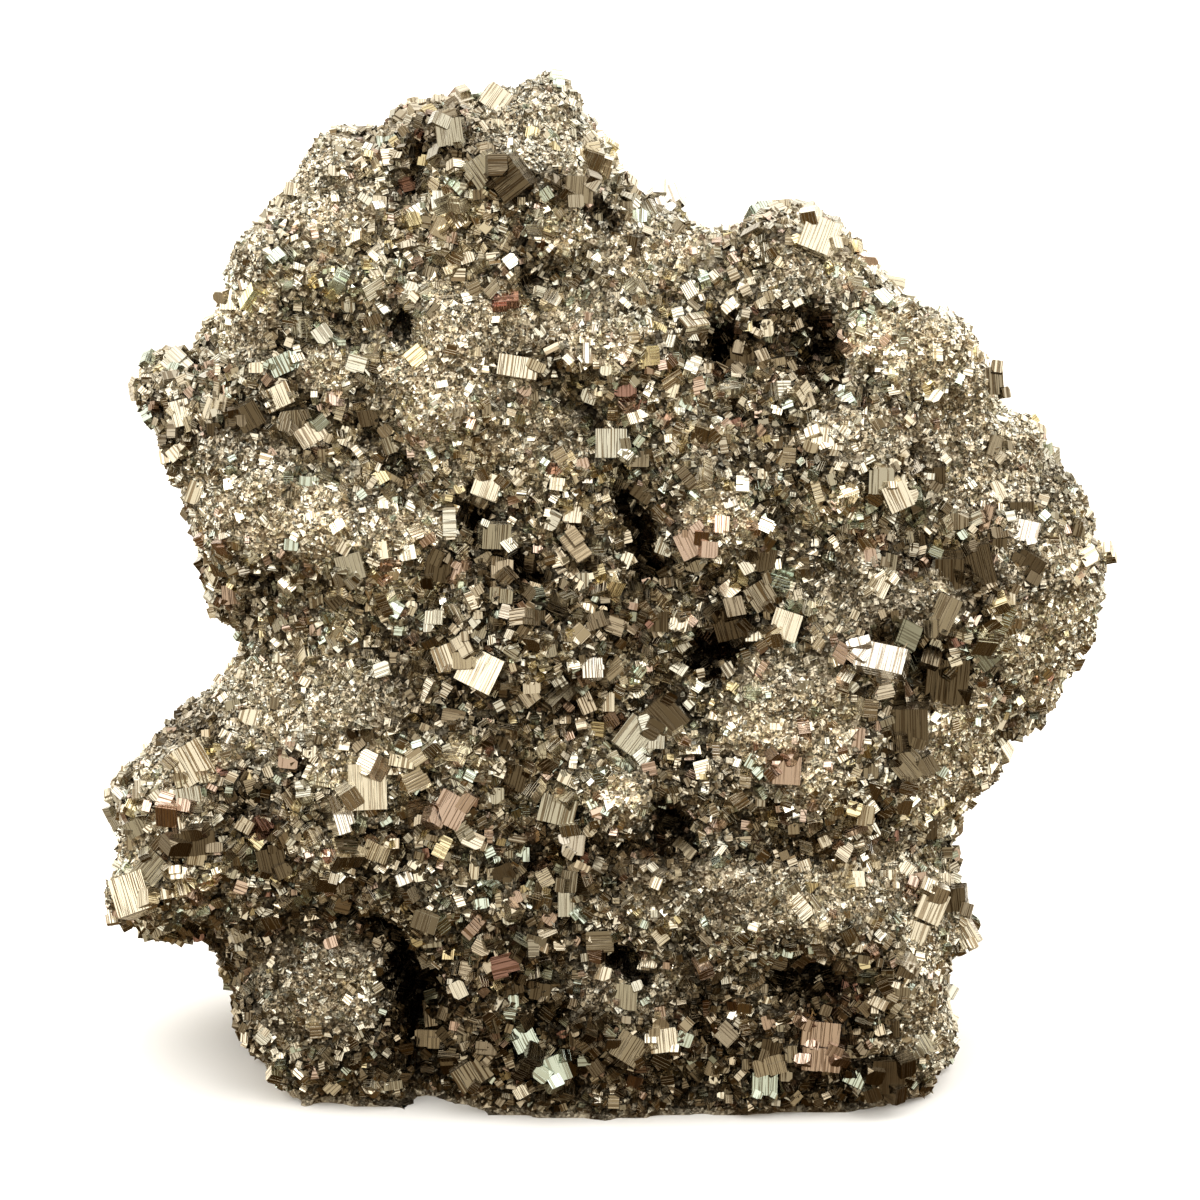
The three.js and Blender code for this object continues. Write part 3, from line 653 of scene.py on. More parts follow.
# The largest crystals, each in its own place, as the solid has them:
# across, up, width, height in mm; spin in the plane of the view in degrees, and tone
bigCrystals = [
    (-21, 70.5, 7.2, 6.4, -27, "cream"), (-27.5, 73, 4.2, 4.4, 20, "cream"),
    (-2.5, 71, 3.6, 3.6, 3, "white"), (-19.5, 94.5, 5, 4.4, -4, "grey"), (10.5, 63, 6.6, 6.6, 42, "dark"),
    (5, 59, 7, 6.2, -38, "silver"), (-8, 46.5, 6.4, 5, -14, "silver"), (-5, 40.5, 4, 3.6, -8, "red"),
    (-6.5, 30, 5, 4.4, 0, "silver"), (48.5, 72.5, 8.6, 4.6, -14, "white"), (58.5, 69.5, 8, 8, -5, "dark"),
    (64, 89.5, 8, 7.4, 14, "dark"), (52.5, 61.5, 8.6, 6.4, 2, "dark"), (22, 79.5, 5.6, 5.4, 16, "dark"),
    (27.5, 84, 4.6, 4.6, 32, "bronze"), (31, 78.5, 5, 5, -18, "cream"), (31, 53.5, 5.2, 5, -4, "rosy"),
    (53.5, 54.5, 5.4, 5.4, 42, "bronze"), (37, 146.5, 6.4, 6, -20, "cream"),
    (24, 125.5, 4.6, 4.4, 4, "dark"), (-21, 158.5, 5, 5, 35, "grey"), (-16.5, 157, 6.4, 5.6, -52, "dark"),
    (-19.5, 170.5, 4.6, 4.4, -35, "cream"), (-27, 165, 4.6, 4.6, 8, "grey"),
    (-5, 155, 5, 4.6, -4, "bronze"), (10.5, 153, 4.6, 4.4, 20, "white"),
    (-15.5, 123.5, 7, 3.6, -8, "cream"), (1, 110.5, 5.4, 5, 0, "silver"),
    (-20.5, 103, 4.6, 4.4, -20, "cream"), (15, 93, 4.8, 4.6, 25, "rosy"), (-44, 89, 4.8, 4.6, 16, "grey"),
    (-42.5, 50.5, 6.8, 8, 2, "beige"), (-71.5, 54.5, 6.6, 7, 30, "cream"),
    (-29.5, 89, 4.6, 4.6, -10, "dark"), (-27, 46.5, 5.6, 5.6, -28, "rosy"),
    (-82, 31.5, 6.6, 7, 18, "cream"), (-79, 36, 5, 7, -40, "grey"), (-72, 41, 7.2, 4.4, 4, "dark"),
    (-58.5, 38, 5, 4.6, 12, "dark"), (-23.5, 0.5, 6.4, 4.4, 32, "bronze"), (-9, 1, 4.8, 4.8, 22, "green"),
    (-14.5, 6.5, 4.4, 4.4, 26, "green"), (9.5, 6, 5, 4.2, 6, "cream"), (4, 5, 5.4, 5, -32, "bronze"),
    (3.5, 14, 5.2, 4.6, -4, "grey"), (27.5, -1.5, 4.6, 4, -2, "green"), (37.5, 7.5, 6.8, 4.4, -6, "rosy"),
    (38, 3, 6.8, 4.2, -4, "rosy"), (49, 0.5, 6, 6.4, -2, "dark"), (56.5, 29.5, 5, 5.8, -24, "cream"),
    (61.5, 31, 3.8, 4.4, 6, "dark"), (63, 24.5, 4.4, 4.6, 30, "cream"), (-56.5, 118.5, 5.2, 4, 24, "beige"),
    (-54.5, 114.5, 4.4, 4, 4, "bronze"), (-62.5, 115.5, 4.4, 4.4, 28, "dark"),
    (67.5, 121.5, 4, 4.8, 4, "bronze"), (51, 101, 4.4, 4.6, 24, "cream"),
]
# And smaller ones, that stand out of the crust between them
placedCrystals = [
    # upper left
    (-39.9, 152.4, 3.2, 2.8, -3, "beige"), (-57, 124.2, 4.6, 3.4, 25, "green"),
    (-54.2, 154.8, 3.4, 2.2, -8, "cream"), (-45.2, 134.9, 2.4, 2.8, 3, "grey"),
    (-40, 140, 2.4, 2.6, 30, "beige"), (-64.7, 135.3, 4.4, 3.6, -3, "cream"),
    (-62.9, 138.4, 2.2, 2.2, 15, "white"), (-61, 137.7, 1.8, 3, 5, "bronze"),
    (-45.4, 144.3, 2, 2, 30, "red"), (-60.7, 123.7, 2.8, 1.8, 0, "beige"), (-69, 123.3, 2, 3.4, 15, "rosy"),
    (-75.8, 124.6, 3.8, 2.8, 10, "cream"), (-47.4, 158.1, 2.4, 1.8, 0, "beige"),
    (-81.5, 119.8, 3.2, 3.4, 10, "cream"), (-74.3, 115.6, 3.4, 4.6, 15, "cream"),
    (-69.1, 116.3, 2.4, 3.8, -20, "beige"), (-49.2, 116.8, 2.4, 2.2, 15, "rosy"),
    (-45.4, 111.5, 3.2, 3.4, -20, "cream"), (-37.8, 110.4, 2.8, 3, 20, "grey"),
    (-58.4, 108.4, 2, 2, 35, "rosy"), (-52.2, 103.8, 3.4, 1.6, -3, "green"),
    (-39.7, 104, 3.6, 2.4, 30, "white"), (-71.5, 101.9, 2.8, 4, -20, "beige"),
    (-70.6, 94.6, 2, 3.2, 10, "cream"), (-54.8, 93.3, 2.4, 3.2, -5, "green"),
    (-66.4, 90.7, 2.4, 2.6, -10, "dark"), (-45.4, 92.5, 2.2, 3, -30, "beige"),
    (-47.2, 83.5, 3.4, 3, 40, "dark"), (-64.7, 84.2, 4.8, 3.4, 5, "rosy"),
    (-48.1, 75.2, 2.4, 2.4, 20, "silver"), (-40.8, 75.8, 3, 2, 0, "beige"),
    (-36.7, 99.2, 1.6, 2.4, 15, "cream"), (-59.5, 77.2, 1.8, 1.6, 0, "gold"),
    (-56.8, 73, 2.6, 2, 0, "cream"), (-51.4, 97.3, 2, 2, 10, "cream"), (-59.2, 96.6, 2.2, 2, -30, "cream"),
    (-76.5, 108.2, 2.4, 2.6, 10, "cream"), (-68.6, 113.2, 2.6, 2.4, 0, "dark"),
    (-50.3, 78, 2.2, 2.2, 0, "rosy"), (-50.3, 83, 2.6, 2.4, 5, "bronze"),
    # top
    (-28.5, 170.8, 3.6, 2.4, 5, "gold"), (-21, 156.2, 2.2, 2, 35, "beige"),
    (-13, 164.6, 2.4, 2.2, -10, "white"), (-1.6, 156, 2, 3.2, -15, "beige"),
    (1.4, 156.6, 3, 2.2, -15, "grey"), (2.9, 157.1, 1.8, 2.6, -30, "cream"), (7, 151, 4.2, 3, 30, "silver"),
    (3.4, 151.2, 3, 3.4, 0, "bronze"), (3.8, 145.8, 5, 3, -10, "dark"), (12.2, 148, 2.2, 3, -40, "bronze"),
    (-30.5, 140.1, 2.6, 2.8, -15, "bronze"), (-29.8, 133.3, 3, 2.6, -40, "bronze"),
    (-24.1, 149.8, 2.6, 2.8, -40, "beige"), (-30.2, 146.2, 2.4, 2.4, -35, "rosy"),
    (-26.1, 146.5, 2.6, 2, -10, "rosy"), (-21.6, 151.7, 2.2, 1.4, -10, "red"),
    (-11.2, 129.8, 3.2, 2, 35, "silver"), (-2.5, 132.3, 2.6, 2.2, 0, "rosy"),
    (-1.6, 130.1, 1.6, 2, -10, "white"), (0.7, 129.6, 2.2, 2.2, -20, "rosy"),
    (9.1, 130.5, 3, 2, -20, "gold"), (9.8, 135.1, 3.2, 1.8, 5, "bronze"),
    (-19.1, 166.2, 2.2, 2, 0, "beige"), (-14.1, 147.8, 1.8, 2.2, -10, "green"),
    (-13.9, 139.8, 2.6, 2.6, 20, "dark"), (-6.3, 138.3, 2.2, 3, 5, "bronze"),
    (-11.2, 136.6, 3, 2.6, -10, "beige"),
    # upper right
    (43, 144.8, 3.4, 2.2, 0, "gold"), (39.8, 140.4, 2.2, 2, 0, "green"), (28.4, 130.7, 2.2, 3, 5, "beige"),
    (24.9, 131, 1.8, 2, 0, "gold"), (34.8, 128.4, 2, 1.8, -15, "cream"),
    (32.7, 126.1, 2, 1.2, -15, "green"), (17.1, 121.5, 2.2, 1.3, -15, "green"),
    (14.5, 117.6, 3.4, 2.6, -25, "green"), (22.9, 113.5, 2.4, 2.6, 20, "red"),
    (64.3, 126.4, 1.8, 1.8, 0, "white"), (38.9, 111, 5.6, 3.6, -8, "cream"),
    (30.8, 110.9, 2.8, 2.4, 0, "bronze"), (54, 106.2, 2.8, 2.4, 30, "red"), (57, 105, 5, 3.6, 0, "dark"),
    (50.5, 106.6, 2.2, 2.2, -10, "cream"), (68.6, 102, 2.1, 3.9, 25, "cream"),
    (27.5, 105, 2.6, 1.8, 0, "cream"), (28.2, 103.2, 1.6, 2, 10, "green"),
    (68, 109.9, 3.2, 3.6, -20, "bronze"), (43.9, 114.3, 1.4, 2.8, -25, "silver"),
    # centre top
    (-16, 121.1, 2.9, 2.1, 40, "bronze"), (-14.3, 120, 2.5, 2.2, -35, "rosy"),
    (-12.5, 119.2, 2.1, 2.9, 5, "bronze"), (-17, 117.4, 2, 1.1, -5, "green"),
    (-25.9, 116.1, 1.8, 1.8, 0, "bronze"), (-20.5, 112, 1.8, 1.8, 0, "cream"),
    (-32.3, 111.1, 2.5, 1.8, -40, "rosy"), (-3.4, 126.1, 1.8, 3.6, 0, "white"),
    (-2.5, 118.8, 2.9, 2.5, -20, "silver"), (3.8, 119.9, 3.9, 2.5, 0, "red"),
    (5.7, 117.4, 2.5, 2.1, -15, "red"), (12.3, 116.8, 2.9, 2.1, -45, "cream"),
    (7.2, 112.7, 2.1, 1.8, -15, "beige"), (2, 113.3, 3.2, 1.4, -35, "cream"),
    (4.7, 110.8, 1.4, 3.6, 20, "bronze"), (5.9, 107.9, 3.9, 2.8, 0, "bronze"),
    (-3.7, 106.8, 2.5, 2.1, 15, "rosy"), (-3.2, 104.2, 1.8, 1.6, 0, "white"),
    (0.5, 105.4, 3.4, 3.2, -3, "grey"), (6.6, 102.2, 3.9, 2.9, -35, "dark"),
    (4.3, 99.9, 2.5, 2.5, -35, "bronze"), (9.3, 99.3, 2.1, 3.2, -20, "bronze"),
    (15.7, 100.2, 2.1, 1.1, -35, "green"), (-22.3, 101.3, 4.3, 2.9, -25, "bronze"),
    (-15.5, 104.7, 2.9, 3.2, -45, "beige"), (-25.7, 102.6, 1.8, 1.8, 30, "gold"),
    (-12.8, 102.2, 1.1, 2.1, -30, "white"), (-11.2, 101.1, 2.9, 2.5, 40, "beige"),
    (21.7, 100.3, 2.4, 2.4, 20, "white"), (-25.3, 87.6, 3.2, 3.6, -20, "rosy"),
    (-21.2, 90.1, 3.2, 2.5, 30, "bronze"), (-15.2, 89, 4.6, 3.4, 30, "bronze"),
    (-17.1, 90.8, 1.8, 2.1, -30, "red"), (-17.7, 84, 4.3, 2.5, -5, "grey"),
    (-18.9, 80.9, 3, 3.9, 0, "green"), (-4.6, 86.3, 3.9, 3.2, 0, "silver"),
    (-6.6, 87.6, 2.2, 1.2, -35, "cream"), (-9.6, 86.8, 2.9, 2.9, -35, "dark"),
    (4.3, 88.3, 2.9, 2.1, 10, "red"), (3.2, 90.1, 2.9, 2.9, -20, "cream"), (1.1, 93.8, 1, 2.1, 25, "white"),
    (16.1, 89.7, 3.9, 2.9, 20, "bronze"), (10.6, 92.4, 2.9, 2.9, -20, "silver"),
    (18.8, 86.1, 2.8, 3.5, 40, "bronze"), (27.1, 90.5, 4.6, 4.2, -10, "dark"),
    (-2.8, 80.9, 3, 2.9, -10, "cream"), (2.3, 79.5, 2.7, 2.5, -20, "cream"),
    (-5.2, 79, 2.1, 1.8, 20, "green"), (9.3, 79.7, 4.3, 3.6, 0, "dark"), (13.2, 79, 3.2, 2.9, -15, "cream"),
    (17, 79.9, 3.2, 2.9, 10, "cream"), (26.3, 77.2, 3.2, 3, 0, "cream"),
    (-34.1, 81.8, 2.1, 2.1, 0, "cream"), (-24.8, 78.6, 1.5, 1.5, 45, "cream"),
    (-22.1, 77.9, 2.5, 3.2, -20, "grey"), (-34.4, 86.1, 3.2, 2.1, -10, "cream"),
    # centre
    (-26.8, 75.8, 2.9, 1.8, 40, "silver"), (-14.4, 74.4, 2.6, 2.3, -40, "grey"),
    (-9.5, 74.4, 2.5, 2.3, 10, "grey"), (3.2, 70.7, 3.4, 2, 35, "white"), (0.7, 65.3, 2.7, 3.4, 0, "beige"),
    (8.1, 66.3, 2.3, 2.3, -20, "rosy"), (-3.2, 59.5, 2.7, 2.5, -25, "silver"),
    (-17.7, 58.1, 3.5, 2.9, -20, "dark"), (-18.6, 54.8, 2.9, 2.5, 45, "beige"),
    (-9.3, 54.6, 2.3, 2.6, -45, "green"), (-27, 54.4, 1.8, 1.6, 30, "white"),
    (-6.8, 51.6, 4.2, 2.1, -25, "cream"), (-7.5, 49.9, 2.5, 1.6, -10, "gold"),
    (-0.2, 54.1, 2.1, 1.8, -40, "beige"), (3, 53.6, 3.5, 2, -15, "green"),
    (-11.2, 48.7, 3.5, 4.2, 0, "grey"), (-19.6, 49, 3.9, 2.8, 0, "silver"),
    (-28.9, 46.2, 3, 4.5, -20, "dark"), (-32, 38.7, 3.2, 1.8, 10, "red"),
    (-15.9, 52.7, 5, 4.6, -15, "dark"), (-25.6, 51.6, 2.8, 2.4, 20, "silver"),
    (26.4, 54.6, 3.4, 3, -30, "green"),
    # right
    (54.2, 93.8, 4, 4.6, 5, "dark"), (42.7, 98.2, 2.1, 1.8, -30, "cream"),
    (46.7, 90.2, 2.1, 3.6, 10, "rosy"), (49.5, 88.4, 3.9, 2.1, -45, "silver"),
    (48.1, 85.4, 3.2, 3.9, -25, "cream"), (60.6, 97, 6.4, 2.9, 0, "bronze"),
    (60.2, 88.1, 5, 5.4, 0, "dark"), (68.4, 93.4, 3.6, 3.6, 0, "dark"),
    (73.3, 94.8, 5.6, 3.8, -15, "white"), (67, 97, 1.8, 5.7, -15, "rosy"),
    (72.7, 99.1, 4.3, 2.9, 0, "dark"), (81.8, 96.1, 3.6, 3.2, -10, "bronze"),
    (78.3, 97.7, 1.8, 1.8, 0, "silver"), (79.2, 92.7, 1.8, 3.9, 10, "cream"),
    (74.3, 89.8, 5, 3.9, -30, "dark"), (81.8, 89.1, 2.5, 2.1, 0, "cream"),
    (70.2, 83.4, 3.9, 2.5, 0, "beige"), (58.8, 80.9, 4.3, 6.5, -25, "bronze"),
    (61.7, 76.8, 2.1, 3.6, 25, "red"), (63.4, 75.8, 2.5, 3.6, -20, "green"),
    (58.4, 75.9, 2.9, 3.9, -25, "grey"), (52.4, 67.3, 2.9, 2.9, 30, "rosy"),
    (64.5, 68.3, 3, 3.6, 35, "bronze"), (35.2, 68, 2.9, 2.5, 0, "grey"), (44.7, 58.5, 2.3, 4.5, -5, "rosy"),
    (46.7, 54, 2.6, 3.9, 0, "bronze"), (43.3, 54.8, 2.6, 0.9, 20, "gold"),
    (48.3, 60.5, 1.3, 2.6, 30, "gold"), (55.1, 60, 2.6, 1.9, -40, "white"),
    (55.3, 56.7, 1.9, 1.6, -20, "white"), (58.7, 53.2, 2.3, 1.9, -30, "green"),
    (46.4, 44.6, 2.9, 4.5, 15, "bronze"), (58, 47.2, 3.2, 2.4, 40, "gold"), (57, 43.3, 2.6, 3.6, 0, "dark"),
    (55.1, 43.6, 1.9, 1.9, -20, "cream"), (52.5, 45.6, 2.3, 1.6, 25, "gold"),
    (50.6, 41.9, 1.9, 1.9, 0, "red"), (45.9, 39.8, 2.6, 3.2, 10, "white"), (59, 37.8, 1.6, 1.8, 0, "cream"),
    # lower left
    (-66.9, 66.3, 2.1, 2.1, -25, "grey"), (-64.9, 64.5, 2.9, 2.5, 10, "grey"),
    (-61.6, 62.4, 5.4, 2.8, -15, "cream"), (-56.9, 65.1, 3.9, 2.1, -5, "bronze"),
    (-53.3, 64.9, 1.6, 1.1, -10, "white"), (-65.7, 58.6, 1.8, 2.1, -25, "white"),
    (-54.8, 58.1, 1.8, 1.8, -5, "rosy"), (-50.5, 59, 2.5, 1.8, -15, "bronze"),
    (-41.9, 59.3, 3.6, 3.2, 10, "dark"), (-35.5, 57.7, 2.9, 3.2, -25, "green"),
    (-51.7, 56.5, 2.5, 2.1, 0, "cream"), (-55.1, 54.7, 3.6, 2.1, -5, "rosy"),
    (-57.3, 51.5, 2.1, 1.2, -35, "green"), (-36.9, 53.4, 2.5, 1.8, 0, "cream"),
    (-65.5, 49, 2.5, 2.1, 25, "dark"), (-56.6, 47.9, 3.2, 2.1, -35, "red"),
    (-72.6, 48.6, 4.6, 3.4, 10, "silver"), (-80.8, 44.3, 7, 3, 25, "grey"),
    (-73, 44, 3.2, 2.5, 10, "cream"), (-83.3, 28.6, 5.6, 2.6, -15, "rosy"),
    (-76.6, 26.8, 6.2, 3.6, 20, "bronze"), (-72.3, 32.6, 3.2, 3.6, -30, "rosy"),
    (-76.2, 31.8, 3.9, 2.1, 10, "cream"), (-73, 29.7, 4.2, 1.2, 25, "green"),
    (-57.3, 42.6, 3.2, 2.9, 5, "dark"), (-60.1, 38.9, 1.5, 3, -35, "beige"),
    (-65.5, 35.8, 2.1, 2.5, -20, "grey"), (-60.1, 35.2, 1, 2.5, 5, "green"),
    (-59.4, 32, 2.5, 1.4, 0, "red"), (-57.3, 31.7, 1.6, 1, 0, "white"),
    (-36.9, 41.8, 2.1, 2.1, -25, "white"), (-38.3, 44.3, 2.1, 1.1, 30, "green"),
    (-35.8, 39.3, 2.5, 2.3, -30, "grey"), (-54.4, 35, 2.9, 2.1, -10, "dark"),
    (-49.2, 44.7, 2.9, 2.1, 0, "dark"), (-42.6, 27.5, 2.9, 1.4, -3, "beige"),
    (-64.1, 25, 3.2, 2.9, 20, "bronze"), (-71.2, 25.4, 2.1, 3.9, 10, "red"),
    # bottom middle
    (-8.7, 39.7, 3.6, 3.4, -10, "bronze"), (-14.9, 39.9, 2.1, 3.2, -15, "green"),
    (-17.6, 38.8, 3.2, 1.4, 0, "grey"), (-33.7, 37, 1.8, 1.8, -30, "cream"),
    (-34.9, 34.2, 2.9, 2.1, 20, "white"), (-32.4, 34.7, 2.1, 1.8, 10, "cream"),
    (-29.9, 33.8, 1.6, 1.5, 0, "rosy"), (-23.3, 36.5, 1.8, 4.4, -5, "beige"),
    (-18.1, 35.8, 3.9, 3.2, 20, "dark"), (-25.4, 34.7, 1.8, 2.5, -10, "bronze"),
    (-10.8, 32.6, 2.9, 2.5, -10, "dark"), (-15.8, 31.1, 2.9, 2.1, 20, "rosy"),
    (-21.5, 29.9, 2.9, 1.8, 8, "green"), (-19, 29.3, 1.8, 2.1, 40, "cream"),
    (-9.9, 27.6, 2.5, 2.3, -35, "rosy"), (-25.6, 26.8, 2, 1.4, 0, "white"),
    (-16.9, 27.4, 2.1, 2.1, 15, "silver"), (-29.9, 23.6, 3.6, 2.1, 8, "grey"),
    (-27.2, 21.7, 2.1, 1.8, 20, "gold"), (-8.8, 24.9, 2.5, 1.8, 0, "dark"),
    (-0.8, 21.8, 2.9, 2.5, 35, "grey"), (-5.1, 23.6, 2.1, 1.9, -30, "rosy"),
    (-0.4, 17.7, 3.2, 2.5, -15, "cream"), (4.2, 8.3, 3.2, 2.1, 0, "grey"),
    (7.4, 13.1, 2.5, 1.1, 30, "green"), (9.7, 10.8, 2.1, 2.5, 10, "rosy"),
    (13.8, 6.3, 2.7, 2.5, -20, "green"), (14.9, 3.4, 1.5, 1.4, 0, "red"),
    (-5.8, 13.6, 1.6, 2.5, 5, "white"), (-16.3, 12.7, 3.2, 2.5, 5, "green"),
    (-15.6, 15.8, 3.2, 2.5, 10, "dark"), (-11.2, 15, 3.6, 3.2, -10, "dark"),
    (-37.4, 12.9, 2.5, 3.9, -15, "cream"), (-36.3, 15.9, 2.1, 2.1, 10, "grey"),
    (-11.7, 3.4, 3.2, 2.1, -40, "silver"), (-10.1, 4.9, 2.9, 2.1, -40, "grey"),
    (-7.6, 7.2, 2.1, 1.4, 10, "red"), (-4.7, 6.7, 3.2, 2.9, 0, "dark"), (-27, 3.3, 2.5, 1.8, -30, "green"),
    (-23.7, 6.5, 3.2, 3, 0, "bronze"), (-32.9, 2.2, 4, 3, 20, "bronze"), (-15.4, -0.5, 2.5, 2.9, 0, "red"),
    (-14, -2.6, 4, 2.2, 30, "cream"), (-1.3, -4, 2.1, 1.9, 5, "white"),
    # bottom right
    (35, 36.6, 2.3, 1.9, 20, "cream"), (49.8, 34.3, 3, 3, 0, "cream"), (52.4, 36, 3, 2.3, -35, "cream"),
    (54.9, 36.2, 2.3, 1.9, -35, "green"), (54.9, 34.1, 3.4, 2.7, 10, "rosy"),
    (53.4, 31.4, 3, 3.4, -35, "rosy"), (59.4, 34.1, 3, 2.3, 0, "cream"), (54.3, 25, 3.8, 3.4, -20, "cream"),
    (45.4, 25.4, 1.7, 1.7, 30, "white"), (34.4, 29.5, 5.4, 2.8, -50, "cream"),
    (31.5, 32.2, 3, 3, 10, "silver"), (39.1, 19.1, 2.3, 2.3, 0, "grey"), (43.1, 15.5, 3.4, 3, -10, "red"),
    (33.3, 14.2, 4.2, 3, 10, "dark"), (28.1, 13.2, 2.3, 1.3, -20, "beige"),
    (22.3, 11, 2.8, 2.7, -25, "white"), (28.3, 9.4, 2.3, 2.5, 15, "rosy"), (30.8, 8.9, 2.3, 2.3, 0, "grey"),
    (32.5, 10.2, 1.9, 2.3, 5, "rosy"), (51.7, 16.8, 4.2, 3, -30, "cream"),
    (52, 14.5, 4.2, 2.3, -5, "bronze"), (57.9, 18, 3.4, 3, -35, "cream"),
    (46.3, 9.8, 2.7, 1.5, -10, "green"), (46.9, 5.8, 2.3, 1.2, 0, "green"),
    (42.7, 6.6, 4.6, 3.8, 0, "dark"), (43.3, 3.9, 4.6, 1.5, 0, "bronze"),
    (44.1, -0.2, 3.8, 3.4, -25, "green"), (50.5, 8.5, 3, 3, 0, "dark"),
    (52.6, 2.2, 2.7, 2.3, -30, "bronze"), (55.1, 5.1, 4.6, 3.4, 30, "silver"),
    (57.5, 1.3, 3, 1.5, 20, "cream"), (56.4, 6.6, 2.3, 2.3, -20, "cream"), (17.1, 7, 3.8, 3.4, -3, "dark"),
    (20.7, 1.7, 2.7, 2.3, -35, "bronze"), (24.7, 2, 1.9, 1.9, 0, "bronze"),
    (28.9, 5.1, 3.8, 3.4, -10, "dark"), (32.9, 3.8, 2.3, 3, 5, "bronze"),
    (34.8, 3.8, 1.5, 2.7, -20, "cream"), (19.4, -0.6, 3, 1.9, -10, "beige"),
    (31.9, 0.1, 2.3, 2.3, 0, "bronze"), (20.5, -3.6, 1.9, 1.3, 0, "cream"),
]
# Tone: kind of face, share of its brightness, and degrees that it tips up, to a brighter part of the room.
# The share of brightness is painted shade, lowest for the dark crystals.
tones = {
    "white": ("white", 0.9, 10),
    "cream": ("pale", 0.95, 5),
    "gold": ("gold", 0.95, 5),
    "green": ("green", 0.9, 3),
    "beige": ("pale", 0.95, 0),
    "silver": ("silver", 0.95, -1),
    "grey": ("silver", 0.85, -7),
    "rosy": ("rosy", 0.9, -2),
    "red": ("red", 0.75, -3),
    "bronze": ("bronze", 0.85, -5),
    "dark": ("bronze", 0.55, -13),
}
bigPlan = {
    "lathWidth": 0.62,  # mm, of the flat ribs that make the growth steps
    "lathRise": 0.14,  # mm that a rib stands proud, at most
    "lathTrim": 0.07,  # share of the edge by which a rib falls short, at most
    "side": 20,  # degrees that a face may turn to either side
    "stand": 0.18,  # share of its depth that a smaller crystal stands out of the crust
    "twins": (0.16, 0.34),  # share of its width that the smaller crystals on its rim have
    "rim": 0.46,  # share of its width from the middle at which they sit
    "ribbedFrom": 3.0,  # mm across the face; smaller crystals are plain, with cut corners
    "seed": 31,
}


# The turn of a crystal whose front face looks at the eye, then spins in the view, tips up and turns aside.
def turnOf(spin, tip, side):
    turn = Matrix((Vector((1, 0, 0)), upInView, -intoCluster)).transposed()
    for angle, axis in ((-tip, "X"), (side, "Y"), (spin, "Z")):
        turn = turn @ Matrix.Rotation(math.radians(angle), 3, axis)
    return turn


# A crystal whose faces are ruled with real ribs, each a little higher, lower or shorter than the next.
def addRibbedCrystal(shape, centre, size, turn, rng):
    half = Vector(size) / 2
    rise = bigPlan["lathRise"]
    addBox(shape, (0, 0, 0), half - Vector((rise, rise, rise)) * 0.7, turn, centre, size[2])
    for axis in range(3):
        across, along = (axis + 1) % 3, (axis + 2) % 3
        for side in (-1, 1):
            edge = -half[across]
            while edge < half[across] - 0.2:
                width = min(bigPlan["lathWidth"] * rng.uniform(0.45, 1.5), half[across] - edge)
                trims = [2 * bigPlan["lathTrim"] * rng.uniform(0, 1) ** 2 for _ in range(2)]
                low, high = (half[along] * (1 - trim) for trim in trims)
                proud = rise * rng.uniform(-1, 0.3)
                ribCentre, ribHalf = Vector((0, 0, 0)), Vector((0, 0, 0))
                ribCentre[across], ribHalf[across] = edge + width / 2, width / 2
                ribCentre[along], ribHalf[along] = (high - low) / 2, (high + low) / 2
                ribHalf[axis] = 0.6
                ribCentre[axis] = side * (half[axis] + proud - ribHalf[axis])
                addBox(shape, ribCentre, ribHalf, turn, centre, size[2])
                edge += width


# Smaller crystals that have grown on the rim of the front face, and break its outline.
def addTwins(shape, centre, size, turn, rng):
    for _ in range(rng.integers(1, 5)):
        half = np.array(size) * rng.uniform(*bigPlan["twins"]) * rng.uniform(0.7, 1, 3)
        place = rng.uniform(-0.5, 0.5, 3)
        place[rng.integers(2)] = rng.choice([-bigPlan["rim"], bigPlan["rim"]])
        place[2] = 0.42
        twist = turn @ Euler(rng.uniform(-0.6, 0.6, 3)).to_matrix()
        spot = centre + turn @ Vector(place * size)
        addCutCube(shape, (0, 0, 0), half, cornerCuts(rng), twist, spot, size[2])


# The seed that gives a crystal one kind of face.
def seedOf(kind, rng):
    start = 0.0
    for name, (_, share) in pyritePlan["kinds"].items():
        if name == kind:
            return start + share * rng.uniform(0.05, 0.95)
        start += share


